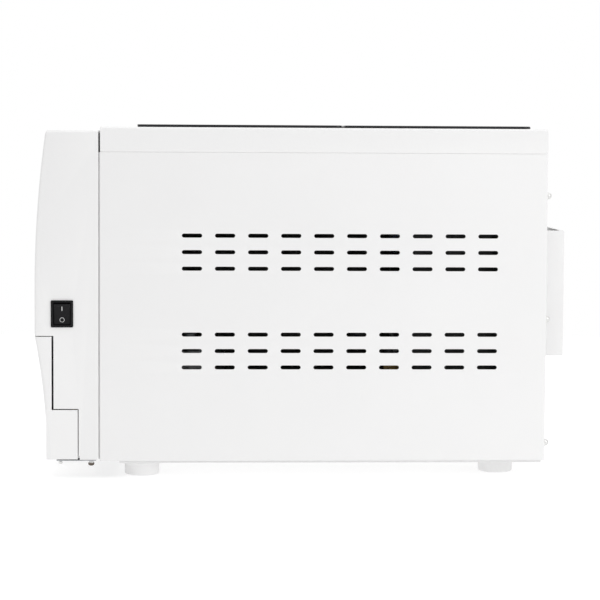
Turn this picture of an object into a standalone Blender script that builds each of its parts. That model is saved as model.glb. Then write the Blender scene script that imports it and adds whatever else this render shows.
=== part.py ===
"""Benchtop autoclave with a horizontal chamber, a swing door and two water tanks under lids in the top.

The front faces -Y and +Z is up. The origin is on the bench, under the middle of the machine.
Sizes below are in millimetres, and every mesh is built in metres.
"""

from math import cos, pi, radians, sin

import bmesh
import bpy
from mathutils import Matrix, Vector

MM = 0.001
GAP = 0.3

# Housing
HALF_WIDTH = 222.5
BODY_FRONT, BODY_REAR = -230.0, 283.7
PANEL_BOTTOM, SKIRT_BOTTOM, TOP = 18.9, 373.2, 401.5
SHEET = 1.2
PAN_BOTTOM, PAN_FRONT = 16.3, -208.0
RETURN_FLANGE = 14.5
BULKHEAD_FRONT, BULKHEAD_REAR = -229.6, -228.1
REAR_PANEL_FRONT, REAR_PANEL_REAR = 280.4, 281.6

# Side vents: ten columns in two groups of three rows
SLOT_LENGTH, SLOT_HEIGHT = 22.5, 3.9
SLOT_FIRST_Y, SLOT_PITCH_Y, SLOT_COLUMNS = -125.1, 37.8, 10
SLOT_TOP_ROWS, SLOT_PITCH_Z, SLOT_ROWS = (278.5, 165.1), 18.9, 3

# Feet
FOOT_RADIUS, FOOT_HEIGHT = 20.0, 16.0
FRONT_FOOT, REAR_FOOT = (192.0, -182.0), (173.5, 233.0)

# Fascia: flat in the middle, rounded back towards the top, hollowed below the service door's top line
FRONT = -303.9
FASCIA_REAR, FASCIA_TOP, FASCIA_BOTTOM = -231.4, 397.1, 20.5
FLAT_BOTTOM, FLAT_TOP = 163.0, 215.0
CROWN_RADIUS = 1284.0
CHIN_RADIUS, CHIN_FRONT, CHIN_FOOT_Z = 800.0, -289.4, 10.0
SKIN = 3.0
TOP_CORNER = 5.0
AHEAD, BEHIND = FRONT - 10.0, FASCIA_REAR + 20.0

# Door opening, door and its hinge
DOOR_LEFT, DOOR_RIGHT, DOOR_BOTTOM, DOOR_TOP = -216.0, 92.0, 31.0, 345.0
DOOR_GAP = 1.5
DOOR_SINK = 0.4
HINGE_X, HINGE_Y, HINGE_EDGE_RADIUS = -195.5, -284.5, 19.0
HINGE_PIN_RADIUS, KNUCKLE_BORE, KNUCKLE_RADIUS = 5.0, 5.4, 8.5
DOOR_REAR = HINGE_Y + HINGE_EDGE_RADIUS
BRACKET_HEIGHTS = ((120.0, 146.0), (240.0, 266.0))
ARM_HEIGHTS = ((150.0, 166.0), (210.0, 226.0))

# Chamber
CHAMBER_X, CHAMBER_Z = -62.0, 188.0
CHAMBER_FRONT, CHAMBER_BACK = -240.0, 118.0
CHAMBER_RADIUS, CHAMBER_WALL, FLANGE_RADIUS, CHAMBER_SEGMENTS = 120.0, 3.0, 133.5, 40
HEATER_RADIUS, JACKET_RADIUS = 126.0, 137.0
DOOR_PLATE_RADIUS, DOOR_PLATE_FRONT, DOOR_PLATE_REAR = 132.0, -256.0, -243.3
RACK_HALF_WIDTH, RACK_BOTTOM, RACK_TOP = 77.5, -90.0, 62.0
TRAY_LEVELS = {"lower_tray": 128.0, "middle_tray": 172.0, "upper_tray": 216.0}

# Handle and latch
DISH_RADIUS, DISH_FLOOR = 66.0, -283.5
BOLT_TRAVEL, BOLT_FRONT, BOLT_REAR = 12.0, -275.8, -268.8
BOLT_REACH, CATCH_HEIGHT = 132.5, 13.5

# Water tanks and lids
LID_HALF_WIDTH, LID_BOTTOM, LID_TOP = 172.0, 401.8, 404.7
CLEAN_LID_Y, WASTE_LID_Y = (-188.1, 49.8), (52.5, 271.6)
TANK_MARGIN, TANK_BOTTOM, TANK_TOP = 8.0, 331.0, 399.9
LID_AXIS_INSET, LID_AXIS_RISE = 0.5, 0.3

# Control column on the right of the front
COLUMN_LEFT = 104.0
COLUMN_FLOOR = 168.0
WINDOW_X, WINDOW_Z = (117.0, 209.0), (305.0, 363.0)
KEY_Z, KEY_RADIUS = 262.0, 8.0
KEYS = {"down_key": 136.0, "up_key": 163.0, "start_key": 190.0}
PRINTER_X, PRINTER_Z = (112.0, 188.0), (176.0, 238.0)

# Service door under the control column
SERVICE_TOP, SERVICE_BOTTOM, SERVICE_REAR = 162.5, 21.0, -284.8
CHEEK_STEP, CHEEK_REAR = 77.9, -255.1
SERVICE_AXIS = (213.0, -275.1)
COMPARTMENT_BACK = -250.0

# Mains switch in the right wall of the fascia
SWITCH_Y, SWITCH_Z = -272.75, 188.35
SWITCH_WIDTH, SWITCH_HEIGHT = 25.5, 31.0
ROCKER_AXIS_X, ROCKER_TILT = 219.6, 12.0

# Exhaust hood, condenser and fan
HOOD_X, HOOD_BOTTOM, HOOD_REAR = (50.0, 196.0), 138.4, 307.9
HOOD_TOP_FRONT, HOOD_TOP_REAR, CHEEK_TOP = 290.8, 284.0, 284.3
FAN_X, FAN_Z, FAN_RADIUS = 123.0, 214.0, 54.0
INLET_X, INLET_Z = 150.0, 75.0

FINISHES = {
    "white_paint": ((0.86, 0.87, 0.87), 0.42, 0.0),
    "white_plastic": ((0.85, 0.86, 0.86), 0.38, 0.0),
    "black_gloss": ((0.012, 0.012, 0.014), 0.12, 0.0),
    "black_plastic": ((0.03, 0.03, 0.032), 0.4, 0.0),
    "grey_plastic": ((0.32, 0.34, 0.36), 0.45, 0.0),
    "pale_rubber": ((0.78, 0.79, 0.78), 0.6, 0.0),
    "steel": ((0.62, 0.62, 0.61), 0.3, 1.0),
    "zinc_steel": ((0.55, 0.56, 0.57), 0.45, 1.0),
    "aluminium": ((0.7, 0.71, 0.72), 0.4, 1.0),
    "brass": ((0.62, 0.44, 0.18), 0.35, 1.0),
    "silicone": ((0.72, 0.30, 0.16), 0.55, 0.0),
    "glass_wool": ((0.72, 0.66, 0.42), 0.9, 0.0),
    "tank_plastic": ((0.74, 0.80, 0.84), 0.35, 0.0),
    "window": ((0.02, 0.03, 0.05), 0.08, 0.0),
    "circuit_board": ((0.03, 0.2, 0.1), 0.5, 0.0),
}


def clear_scene():
    for old in list(bpy.data.objects):
        bpy.data.objects.remove(old, do_unlink=True)


def finish(name):
    """The material of this name, made the first time it is asked for."""
    found = bpy.data.materials.get(name)
    if found:
        return found
    colour, roughness, metallic = FINISHES[name]
    made = bpy.data.materials.new(name)
    made.use_nodes = True
    shader = made.node_tree.nodes["Principled BSDF"]
    shader.inputs["Base Color"].default_value = (*colour, 1.0)
    shader.inputs["Roughness"].default_value = roughness
    shader.inputs["Metallic"].default_value = metallic
    return made


# Outlines


def rectangle(low_u, high_u, low_v, high_v):
    return [(low_u, low_v), (high_u, low_v), (high_u, high_v), (low_u, high_v)]


def arc(centre, radius, start, end, steps):
    """Points on a circle from one angle to another, in degrees, with both ends."""
    angles = [radians(start + (end - start) * i / steps) for i in range(steps + 1)]
    return [(centre[0] + radius * cos(a), centre[1] + radius * sin(a)) for a in angles]


def circle(centre, radius, segments):
    return arc(centre, radius, 0, 360 * (segments - 1) / segments, segments - 1)


def rounded(low_u, high_u, low_v, high_v, radius, steps=3):
    """A rectangle with round corners."""
    corners = (
        (high_u - radius, high_v - radius, 0),
        (low_u + radius, high_v - radius, 90),
        (low_u + radius, low_v + radius, 180),
        (high_u - radius, low_v + radius, 270),
    )
    points = []
    for u, v, start in corners:
        points += arc((u, v), radius, start, start + 90, steps)
    return points


# Solids


class Solid:
    """Faces gathered in one mesh, in the machine's frame and in millimetres."""

    def __init__(self):
        self.bm = bmesh.new()

    def prism(self, outline, axis, low, high):
        """An outline pushed along an axis. It is (y, z) for X, (x, z) for Y and (x, y) for Z."""
        at = {
            "X": lambda u, v, w: (w, u, v),
            "Y": lambda u, v, w: (u, w, v),
            "Z": lambda u, v, w: (u, v, w),
        }[axis]
        near = [self.bm.verts.new(at(u, v, low)) for u, v in outline]
        far = [self.bm.verts.new(at(u, v, high)) for u, v in outline]
        made = [self.bm.faces.new(near), self.bm.faces.new(far)]
        for i, vertex in enumerate(near):
            j = (i + 1) % len(near)
            made.append(self.bm.faces.new((vertex, near[j], far[j], far[i])))
        bmesh.ops.recalc_face_normals(self.bm, faces=made)
        return self

    def box(self, x, y, z):
        return self.prism(rectangle(*x, *y), "Z", *z)

    def turned(self, profile, centre, axis, segments):
        """A profile of (radius, place along the axis), turned round it. Radius 0 closes it on the axis."""
        at = {
            "X": lambda r, w, a: (w, centre[0] + r * cos(a), centre[1] + r * sin(a)),
            "Y": lambda r, w, a: (centre[0] + r * cos(a), w, centre[1] + r * sin(a)),
            "Z": lambda r, w, a: (centre[0] + r * cos(a), centre[1] + r * sin(a), w),
        }[axis]
        rings = []
        for radius, along in profile:
            count = segments if radius else 1
            angles = [2 * pi * i / segments for i in range(count)]
            rings.append([self.bm.verts.new(at(radius, along, a)) for a in angles])
        made = []
        for first, second in zip(rings, rings[1:] + rings[:1]):
            if len(first) == len(second) == 1:
                continue
            for i in range(segments):
                j = (i + 1) % segments
                ends = [first[i % len(first)], first[j % len(first)]]
                ends += [second[j % len(second)], second[i % len(second)]]
                made.append(self.bm.faces.new(list(dict.fromkeys(ends))))
        bmesh.ops.recalc_face_normals(self.bm, faces=made)
        return self

    def rod(self, centre, radius, axis, low, high, segments=16):
        profile = [(0, low), (radius, low), (radius, high), (0, high)]
        return self.turned(profile, centre, axis, segments)

    def turn(self, angle, axis, centre=(0, 0, 0)):
        """Turns all of it so far round an axis through a point, by degrees."""
        there = Matrix.Translation(Vector(centre))
        self.bm.transform(there @ Matrix.Rotation(radians(angle), 4, axis) @ there.inverted())
        return self

    def move(self, offset):
        self.bm.transform(Matrix.Translation(offset))
        return self

    def add(self, other):
        """Takes over the faces of another solid."""
        mesh = bpy.data.meshes.new("taken_over")
        other.bm.to_mesh(mesh)
        other.bm.free()
        self.bm.from_mesh(mesh)
        bpy.data.meshes.remove(mesh)
        return self

    def mirror_x(self):
        self.bm.transform(Matrix.Scale(-1, 4, (1, 0, 0)))
        bmesh.ops.reverse_faces(self.bm, faces=self.bm.faces[:])
        return self

    def mesh(self, name, origin):
        """The finished mesh in metres, measured from its origin."""
        self.bm.transform(Matrix.Scale(MM, 4) @ Matrix.Translation(-Vector(origin)))
        mesh = bpy.data.meshes.new(name)
        self.bm.to_mesh(mesh)
        self.bm.free()
        mesh.shade_smooth()
        mesh.set_sharp_from_angle(angle=radians(32))
        return mesh

    def middle(self):
        corners = [Vector(vertex.co) for vertex in self.bm.verts]
        low = Vector([min(c[i] for c in corners) for i in range(3)])
        high = Vector([max(c[i] for c in corners) for i in range(3)])
        return (low + high) / 2


def pivot(name, point):
    """An empty on a joint's axis. The pieces that turn or slide on the joint are its children."""
    empty = bpy.data.objects.new(name, None)
    empty.location = Vector(point) * MM
    empty.empty_display_size = 0.02
    bpy.context.scene.collection.objects.link(empty)
    return empty


def world_point(empty):
    point = Vector(empty.location)
    while empty.parent:
        empty = empty.parent
        point += empty.location
    return point / MM


def part(name, solid, look, on=None):
    """A named piece with its origin at its middle, or at the pivot it hangs on."""
    origin = world_point(on) if on else solid.middle()
    made = bpy.data.objects.new(name, solid.mesh(name, origin))
    made.data.materials.append(finish(look))
    if on:
        made.parent = on
    else:
        made.location = origin * MM
    bpy.context.scene.collection.objects.link(made)
    return made


def tool(name, solid):
    """A helper solid for a Boolean. It isn't part of the machine."""
    origin = solid.middle()
    made = bpy.data.objects.new(name, solid.mesh(name, origin))
    made.location = origin * MM
    made.hide_render = True
    made.display_type = "WIRE"
    bpy.context.scene.collection.objects.link(made)
    return made


def combine(target, operation, solid):
    """Cuts, adds or keeps what is common, with a helper named after the piece."""
    number = len(target.modifiers) + 1
    helper = solid
    if isinstance(solid, Solid):
        helper = tool(f"{target.name}_helper_{number}", solid)
    modifier = target.modifiers.new(f"{operation.lower()}_{number}", "BOOLEAN")
    modifier.operation = operation
    modifier.solver = "EXACT"
    modifier.object = helper
    return target


def cut(target, solid):
    return combine(target, "DIFFERENCE", solid)


def join(target, solid):
    return combine(target, "UNION", solid)


# Side profile of the front


def front_y(z):
    """How far forward the front of the machine reaches at this height."""
    if z > FLAT_TOP:
        return FRONT + (z - FLAT_TOP) ** 2 / (2 * CROWN_RADIUS)
    if z < FLAT_BOTTOM:
        return CHIN_FRONT - (z - CHIN_FOOT_Z) ** 2 / (2 * CHIN_RADIUS)
    return FRONT


def front_line(low, high, inset=0.0):
    """Points down the front from one height to another, set back by the inset."""
    heights = [345, 305, 270, 240, FLAT_TOP, FLAT_BOTTOM + 0.01, 140, 110, 80, 50]
    inner = [z for z in heights if low + 4 < z < high - 4]
    return [(front_y(z) + inset, z) for z in [high, *inner, low]]


def front_profile(low, high, rear, inset=0.0, corner=0.0):
    """The side outline between two heights, from the front's curve back to a plane."""
    top = [(rear, high)]
    if corner:
        centre = (front_y(high - corner) + inset + corner, high - corner)
        top += arc(centre, corner, 90, 180, 4)
        return top + front_line(low, high - corner, inset)[1:] + [(rear, low)]
    return top + front_line(low, high, inset) + [(rear, low)]


# Housing


def base_pan():
    half, rise = HALF_WIDTH - 2.9, 48.0
    inner, floor = half - SHEET, PAN_BOTTOM + SHEET
    outline = [
        (-half, rise), (-half, PAN_BOTTOM), (half, PAN_BOTTOM), (half, rise),
        (inner, rise), (inner, floor), (-inner, floor), (-inner, rise),
    ]
    part("base_pan", Solid().prism(outline, "Y", PAN_FRONT, REAR_PANEL_FRONT - 0.5), "white_paint")


def feet():
    flange_bottom, chamfer = FOOT_HEIGHT - 3.0, 1.8
    profile = [
        (0, 0), (FOOT_RADIUS - chamfer, 0), (FOOT_RADIUS, chamfer), (FOOT_RADIUS, flange_bottom),
        (FOOT_RADIUS + 3.5, flange_bottom), (FOOT_RADIUS + 3.5, FOOT_HEIGHT), (0, FOOT_HEIGHT),
    ]
    shape = Solid().turned(profile, (0, 0), "Z", 20).mesh("foot", (0, 0, 0))
    shape.materials.append(finish("pale_rubber"))
    places = {
        "front_right_foot": (FRONT_FOOT[0], FRONT_FOOT[1]),
        "front_left_foot": (-FRONT_FOOT[0], FRONT_FOOT[1]),
        "rear_right_foot": (REAR_FOOT[0], REAR_FOOT[1]),
        "rear_left_foot": (-REAR_FOOT[0], REAR_FOOT[1]),
    }
    for name, (x, y) in places.items():
        foot = bpy.data.objects.new(name, shape)
        foot.location = Vector((x, y, 0)) * MM
        bpy.context.scene.collection.objects.link(foot)


def vent_cutters():
    """The slots of one side, as bars that run through the right-hand panel."""
    radius = SLOT_HEIGHT / 2
    reach = SLOT_LENGTH / 2 - radius
    bars = Solid()
    for top in SLOT_TOP_ROWS:
        for row in range(SLOT_ROWS):
            z = top - row * SLOT_PITCH_Z
            for column in range(SLOT_COLUMNS):
                y = SLOT_FIRST_Y + column * SLOT_PITCH_Y
                outline = arc((y + reach, z), radius, -90, 90, 2) + arc((y - reach, z), radius, 90, 270, 2)
                bars.prism(outline, "X", HALF_WIDTH - 6, HALF_WIDTH + 6)
    return bars


def side_panels():
    """Two sheets with a return flange at the front and at the back."""
    outer, inner = HALF_WIDTH, HALF_WIDTH - SHEET
    front, rear = BODY_FRONT, BODY_REAR
    lip = outer - RETURN_FLANGE
    outline = [
        (outer, front), (outer, rear), (lip, rear), (lip, rear - SHEET),
        (inner, rear - SHEET), (inner, front + SHEET), (lip, front + SHEET), (lip, front),
    ]
    for name in ("right_side_panel", "left_side_panel"):
        sheet = Solid().prism(outline, "Z", PANEL_BOTTOM, SKIRT_BOTTOM - 0.5)
        slots = vent_cutters()
        if name.startswith("left"):
            sheet.mirror_x()
            slots.mirror_x()
        cut(part(name, sheet, "white_paint"), slots)


def lid_opening(span):
    """The hole in the top cover under one lid."""
    half = LID_HALF_WIDTH - TANK_MARGIN
    return rounded(-half, half, span[0] + TANK_MARGIN, span[1] - TANK_MARGIN, 10)


def top_cover():
    """A tray turned upside down, with a hole over each water tank."""
    bend, front = 3.3, BODY_FRONT + 1.4
    sides = [(-HALF_WIDTH, SKIRT_BOTTOM), (HALF_WIDTH, SKIRT_BOTTOM)]
    right = arc((HALF_WIDTH - bend, TOP - bend), bend, 0, 90, 3)
    left = arc((-HALF_WIDTH + bend, TOP - bend), bend, 90, 180, 3)
    shell = Solid().prism(sides + right + left, "Y", front, BODY_REAR)
    cover = part("top_cover", shell, "white_paint")
    inner = HALF_WIDTH - SHEET
    depth, height = (front + SHEET, BODY_REAR - SHEET), (SKIRT_BOTTOM - 5, TOP - SHEET)
    cut(cover, Solid().box((-inner, inner), depth, height))
    holes = Solid()
    for span in (CLEAN_LID_Y, WASTE_LID_Y):
        holes.prism(lid_opening(span), "Z", TOP - 6, TOP + 6)
    cut(cover, holes)


def rear_panel():
    half = HALF_WIDTH - 2.7
    front, rear = REAR_PANEL_FRONT, REAR_PANEL_REAR
    plate = part("rear_panel", Solid().box((-half, half), (front, rear), (19.5, 395.0)), "white_paint")
    holes = Solid()
    fan_slots, slot_pitch = 7, 18
    for i in range(fan_slots):
        z = FAN_Z + slot_pitch * (i - (fan_slots - 1) / 2)
        slot = rounded(FAN_X - 55, FAN_X + 55, z - 4.5, z + 4.5, 3, 1)
        holes.prism(slot, "Y", front - 5, rear + 5)
    upright_slots, first_x, pitch_x = 9, -160, 15
    for i in range(upright_slots):
        x = first_x + pitch_x * i
        holes.prism(rounded(x - 2.5, x + 2.5, 235, 290, 1.5, 1), "Y", front - 5, rear + 5)
    holes.box((INLET_X - 14, INLET_X + 14), (front - 5, rear + 5), (INLET_Z - 23, INLET_Z + 23))
    cut(plate, holes)


def rear_hood():
    """A sheet box that turns the hot air down, with a wedge left open under its sloping top."""
    front, rear = REAR_PANEL_REAR + GAP, HOOD_REAR
    left, right = HOOD_X
    wall, over = SHEET, 5.0
    slope = (HOOD_TOP_FRONT - HOOD_TOP_REAR) / (rear - front)
    top = [(rear, HOOD_TOP_REAR), (front, HOOD_TOP_FRONT)]
    outline = [(front, HOOD_BOTTOM), (rear, HOOD_BOTTOM), *top]
    hood = part("rear_hood", Solid().prism(outline, "X", left, right), "white_paint")
    under = HOOD_TOP_FRONT - wall
    inside = [
        (front - over, HOOD_BOTTOM - over), (rear - wall, HOOD_BOTTOM - over),
        (rear - wall, HOOD_TOP_REAR - wall + slope * wall), (front - over, under + slope * over),
    ]
    cut(hood, Solid().prism(inside, "X", left + wall, right - wall))
    tip = front + (under - CHEEK_TOP) / slope
    wedge = [(front - over, CHEEK_TOP), (tip, CHEEK_TOP), (front - over, under + slope * over)]
    cut(hood, Solid().prism(wedge, "X", left - over, right + over))
    flanges = Solid()
    flanges.box((right - 0.6, right + 10), (front, front + wall), (HOOD_BOTTOM, CHEEK_TOP))
    flanges.box((left - 10, left + 0.6), (front, front + wall), (HOOD_BOTTOM, CHEEK_TOP))
    join(hood, flanges)
    upright = (HOOD_TOP_FRONT - 1.0, HOOD_TOP_FRONT + 12)
    join(hood, Solid().box((left, right), (front, front + wall), upright))


def front_bulkhead():
    """The plate that carries the chamber's flange, with a foot flange that lies on the base pan."""
    floor = PAN_BOTTOM + SHEET + GAP
    front, rear = BULKHEAD_FRONT, BULKHEAD_REAR
    foot_rear, head = -186.0, SKIRT_BOTTOM - 2.2
    outline = [
        (front, floor), (foot_rear, floor), (foot_rear, floor + 1.5),
        (rear, floor + 1.5), (rear, head), (front, head),
    ]
    plate = part("front_bulkhead", Solid().prism(outline, "X", -206.0, 206.0), "zinc_steel")
    holes = Solid()
    clearance = CHAMBER_RADIUS + CHAMBER_WALL + 1.2
    holes.prism(circle((CHAMBER_X, CHAMBER_Z), clearance, CHAMBER_SEGMENTS), "Y", front - 5, rear + 5)
    holes.prism(circle((160, 320), 14, 12), "Y", front - 5, rear + 5)
    cut(plate, holes)


def vessel_cradle():
    """The saddle under the back of the chamber."""
    floor = PAN_BOTTOM + SHEET + GAP
    saddle = arc((CHAMBER_X, CHAMBER_Z), JACKET_RADIUS + 1.2, -54, -126, 10)
    outline = [(CHAMBER_X - 80, floor), (CHAMBER_X + 80, floor), *saddle]
    cradle = part("vessel_cradle", Solid().prism(outline, "Y", 62, 74), "zinc_steel")
    cut(cradle, Solid().box((CHAMBER_X - 55, CHAMBER_X - 12), (55, 80), (floor + 6, 44)))
    cut(cradle, Solid().box((CHAMBER_X + 12, CHAMBER_X + 55), (55, 80), (floor + 6, 44)))


# Fascia and what is set in it


def fascia():
    """The front moulding, hollow from the back, with the door opening and the service compartment."""
    half = HALF_WIDTH
    outline = front_profile(FASCIA_BOTTOM, FASCIA_TOP, FASCIA_REAR, corner=TOP_CORNER)
    body = part("fascia", Solid().prism(outline, "X", -half, half), "white_plastic")
    door_hole = rounded(DOOR_LEFT, DOOR_RIGHT, DOOR_BOTTOM, DOOR_TOP, 6)
    cut(body, Solid().prism(door_hole, "Y", AHEAD, BEHIND))
    band = front_profile(DOOR_TOP + SKIN, FASCIA_TOP - SKIN, BEHIND, SKIN, 2.0)
    cut(body, Solid().prism(band, "X", SKIN - half, DOOR_RIGHT + 1))
    column = front_profile(COLUMN_FLOOR, FASCIA_TOP - SKIN, BEHIND, SKIN, 2.0)
    cut(body, Solid().prism(column, "X", DOOR_RIGHT + SKIN, half - SKIN))

    low, high = SERVICE_BOTTOM + 2.5, SERVICE_TOP + 1.0
    bay = (COLUMN_LEFT + 3, half - SKIN)
    cut(body, Solid().box(bay, (AHEAD, COMPARTMENT_BACK), (low, high)))
    cut(body, Solid().box(bay, (COMPARTMENT_BACK + SKIN, BEHIND), (low, high)))
    door_edge, cheek_edge = SERVICE_REAR + 2.2, CHEEK_REAR + 1.4
    beyond = half + 10
    cut(body, Solid().box((COLUMN_LEFT, beyond), (AHEAD, door_edge), (0, high)))
    cut(body, Solid().box((COLUMN_LEFT + 3.2, beyond), (AHEAD, cheek_edge + 1.3), (0, low + 1.0)))
    cut(body, Solid().box((half - SKIN - 1, beyond), (AHEAD, cheek_edge), (1, CHEEK_STEP + 1.3)))

    openings, inside = Solid(), FRONT + 14.0
    openings.prism(rounded(*WINDOW_X, *WINDOW_Z, 4), "Y", AHEAD, inside)
    openings.prism(rounded(*PRINTER_X, *PRINTER_Z, 3), "Y", AHEAD, inside)
    for x in KEYS.values():
        openings.prism(circle((x, KEY_Z), KEY_RADIUS + 0.6, 20), "Y", AHEAD, inside)
    reach_y, reach_z = SWITCH_WIDTH / 2 - 1.15, SWITCH_HEIGHT / 2 - 1.2
    switch_y, switch_z = (SWITCH_Y - reach_y, SWITCH_Y + reach_y), (SWITCH_Z - reach_z, SWITCH_Z + reach_z)
    openings.box((half - 10, beyond), switch_y, switch_z)
    openings.rod(SERVICE_AXIS, 2.9, "Z", SERVICE_TOP - 1, SERVICE_TOP + 4.2, 12)
    cut(body, openings)


def display_window():
    low, high = WINDOW_Z[0] + 0.5, WINDOW_Z[1] - 0.5
    line = [(z, front_y(z)) for z in (high, (low + high) / 2, low)]
    front = [(y + 0.4, z) for z, y in line]
    back = [(y + 2.6, z) for z, y in reversed(line)]
    left, right = WINDOW_X[0] + 0.5, WINDOW_X[1] - 0.5
    window = part("display_window", Solid().prism(front + back, "X", left, right), "window")
    combine(window, "INTERSECT", Solid().prism(rounded(left, right, low, high, 3.6), "Y", AHEAD, BEHIND))


def keys():
    """Three sprung keys, each held by a collar behind the fascia's skin."""
    face = front_y(KEY_Z) - 0.6
    collar = front_y(KEY_Z) + SKIN + 1.0
    rim, stem = KEY_RADIUS + 1.6, 2.5
    profile = [
        (0, face), (KEY_RADIUS - 1.2, face), (KEY_RADIUS, face + 1.2), (KEY_RADIUS, collar), (rim, collar),
        (rim, collar + 1.4), (stem, collar + 1.4), (stem, collar + 4), (0, collar + 4),
    ]
    for name, x in KEYS.items():
        slide = pivot(f"{name}_slide", (x, face, KEY_Z))
        part(name, Solid().turned(profile, (x, KEY_Z), "Y", 16), "grey_plastic", slide)


def printer():
    """A strip printer with a paper bay behind a drop-down cover."""
    left, right = PRINTER_X[0] + 0.8, PRINTER_X[1] - 0.8
    low, high = PRINTER_Z[0] + 2.0, PRINTER_Z[1] - 0.8
    unit = part("printer_unit", Solid().box((left, right), (-297.0, -246.0), (low, high)), "black_plastic")
    cut(unit, Solid().box((left + 4, right - 4), (AHEAD, -256.0), (low + 6, high - 10)))
    cut(unit, Solid().box((left + 8, right - 8), (AHEAD, -285.0), (high - 6.5, high - 4.5)))
    hinge = pivot("printer_cover_hinge", (0, -301.5, low))
    steps = (high, (low + high) / 2 + 8, low)
    front = [(front_y(z) + DOOR_SINK, z) for z in steps]
    back = [(front_y(z) + DOOR_SINK + 2.6, z) for z in reversed(steps)]
    cover = part("printer_cover", Solid().prism(front + back, "X", left, right), "grey_plastic", hinge)
    combine(cover, "INTERSECT", Solid().prism(rounded(left, right, low, high, 3), "Y", AHEAD, BEHIND))
    cut(cover, Solid().box((left + 9, right - 9), (AHEAD, BEHIND), (high - 7.5, high - 5.0)))


def service_door():
    """The shell below the control column, with a deeper cheek at its lower right.

    A goose-neck lug at each end reaches round the fascia's right wall to the pivot.
    """
    left, right = COLUMN_LEFT + 1.0, HALF_WIDTH
    hinge = pivot("service_door_hinge", (*SERVICE_AXIS, SERVICE_BOTTOM))
    outline = front_profile(SERVICE_BOTTOM, SERVICE_TOP, SERVICE_REAR)
    door = part("service_door", Solid().prism(outline, "X", left, right), "white_plastic", hinge)
    inside = front_profile(SERVICE_BOTTOM + SKIN, SERVICE_TOP - SKIN, SERVICE_REAR + 10, SKIN)
    cut(door, Solid().prism(inside, "X", left + SKIN, right - SKIN))
    join(door, Solid().box((right - SKIN, right), (-291.0, CHEEK_REAR), (SERVICE_BOTTOM, CHEEK_STEP)))
    relief = Solid().rod(SERVICE_AXIS, 12.5, "Z", CHEEK_STEP + 0.01, SERVICE_TOP + 5, 32)
    cut(door, relief)
    x, y = SERVICE_AXIS
    lugs = Solid()
    barrel = arc((x, y), 5.0, -90, 90, 6)[::-1]
    neck = [(x - 14, y - 16), (x - 14, y + 5), *barrel, (x - 8.6, y - 5), (x - 8.6, y - 16)]
    lugs.prism(neck, "Z", SERVICE_BOTTOM, SERVICE_BOTTOM + 5)
    lugs.prism(neck, "Z", SERVICE_TOP - 5, SERVICE_TOP - 0.5)
    join(door, lugs)
    join(door, Solid().rod(SERVICE_AXIS, 2.4, "Z", SERVICE_TOP - 2, SERVICE_TOP + 3.6, 12))
    cut(door, Solid().rod(SERVICE_AXIS, 2.9, "Z", SERVICE_BOTTOM - 2, SERVICE_BOTTOM + 4.6, 12))


def service_hinge_plate():
    """The plate under the fascia with the service door's lower pivot pin."""
    x, y = SERVICE_AXIS
    top = FASCIA_BOTTOM - GAP
    sheet = Solid().box((x - 9, x + 8), (y - 4.5, y + 40.9), (top - 1.3, top))
    plate = part("service_hinge_plate", sheet, "zinc_steel")
    join(plate, Solid().rod((x, y), 2.4, "Z", top - 0.6, SERVICE_BOTTOM + 4.2, 12))


def service_fittings():
    """What the service door covers: the air filter and the two drain taps."""
    back = COMPARTMENT_BACK - GAP
    profile = [(0, -279), (25, -279), (28, -276), (28, -263), (13, -258), (8, -255), (8, back), (0, back)]
    part("air_filter", Solid().turned(profile, (148, 122), "Y", 24), "white_plastic")
    taps = part("drain_taps", Solid().box((114, 182), (-264, back), (34, 80)), "brass")
    spouts = Solid()
    bores = Solid()
    for x in (130.0, 166.0):
        spouts.rod((x, 44), 5.0, "Y", -278, -262, 12)
        bores.rod((x, 44), 3.0, "Y", -285, -268, 10)
        bores.rod((x, 65), 3.4, "Y", -270, -256, 12)
    join(taps, spouts)
    cut(taps, bores)
    for name, x in (("clean_drain_knob", 130.0), ("waste_drain_knob", 166.0)):
        axis = pivot(f"{name}_axis", (x, -264.5, 65))
        profile = [(0, -277), (10, -277), (11, -276), (11, -265), (3, -265), (3, -257), (0, -257)]
        knob = part(name, Solid().turned(profile, (x, 65), "Y", 16), "black_plastic", axis)
        join(knob, Solid().box((x - 2, x + 2), (-279.5, -276), (56, 74)))


def mains_switch():
    """A rocker switch in a rectangular bezel, its lower half pressed in."""
    y, z = SWITCH_Y, SWITCH_Z
    back, face = HALF_WIDTH + GAP, HALF_WIDTH + 1.8
    half_y, half_z = SWITCH_WIDTH / 2, SWITCH_HEIGHT / 2
    outline = rounded(y - half_y, y + half_y, z - half_z, z + half_z, 1.5, 2)
    bezel = part("switch_bezel", Solid().prism(outline, "X", back, face), "black_gloss")
    join(bezel, Solid().box((200, back + 0.5), (y - 11.2, y + 11.2), (z - 13.9, z + 13.9)))
    cut(bezel, Solid().box((208, face + 5), (y - 9.8, y + 9.8), (z - 13.0, z + 13.0)))
    hinge = pivot("switch_rocker_hinge", (ROCKER_AXIS_X, y, z))
    x = ROCKER_AXIS_X
    outline = [(3.8, 12), (2.2, 0), (3.8, -12), (0, -12.4), (-5, -8), (-5, 8), (0, 12.4)]
    shape = Solid().prism([(x + u, z + v) for u, v in outline], "Y", y - 9.3, y + 9.3)
    shape.turn(ROCKER_TILT, "Y", (x, y, z))
    part("switch_rocker", shape, "black_gloss", hinge)


# Door


def door_plan(inset):
    """The door cover's outline seen from above, with a round edge about the hinge."""
    radius = HINGE_EDGE_RADIUS - inset
    right = DOOR_RIGHT - DOOR_GAP - inset
    if not inset:
        edge = arc((HINGE_X, HINGE_Y), radius, 90, 270, 12)
        return edge + [(right, HINGE_Y - radius), (right, DOOR_REAR)]
    edge = arc((HINGE_X, HINGE_Y), radius, 135, 270, 9)
    return edge + [(right, HINGE_Y - radius - 5), (right, DOOR_REAR + 8), (edge[0][0], DOOR_REAR + 8)]


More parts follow.
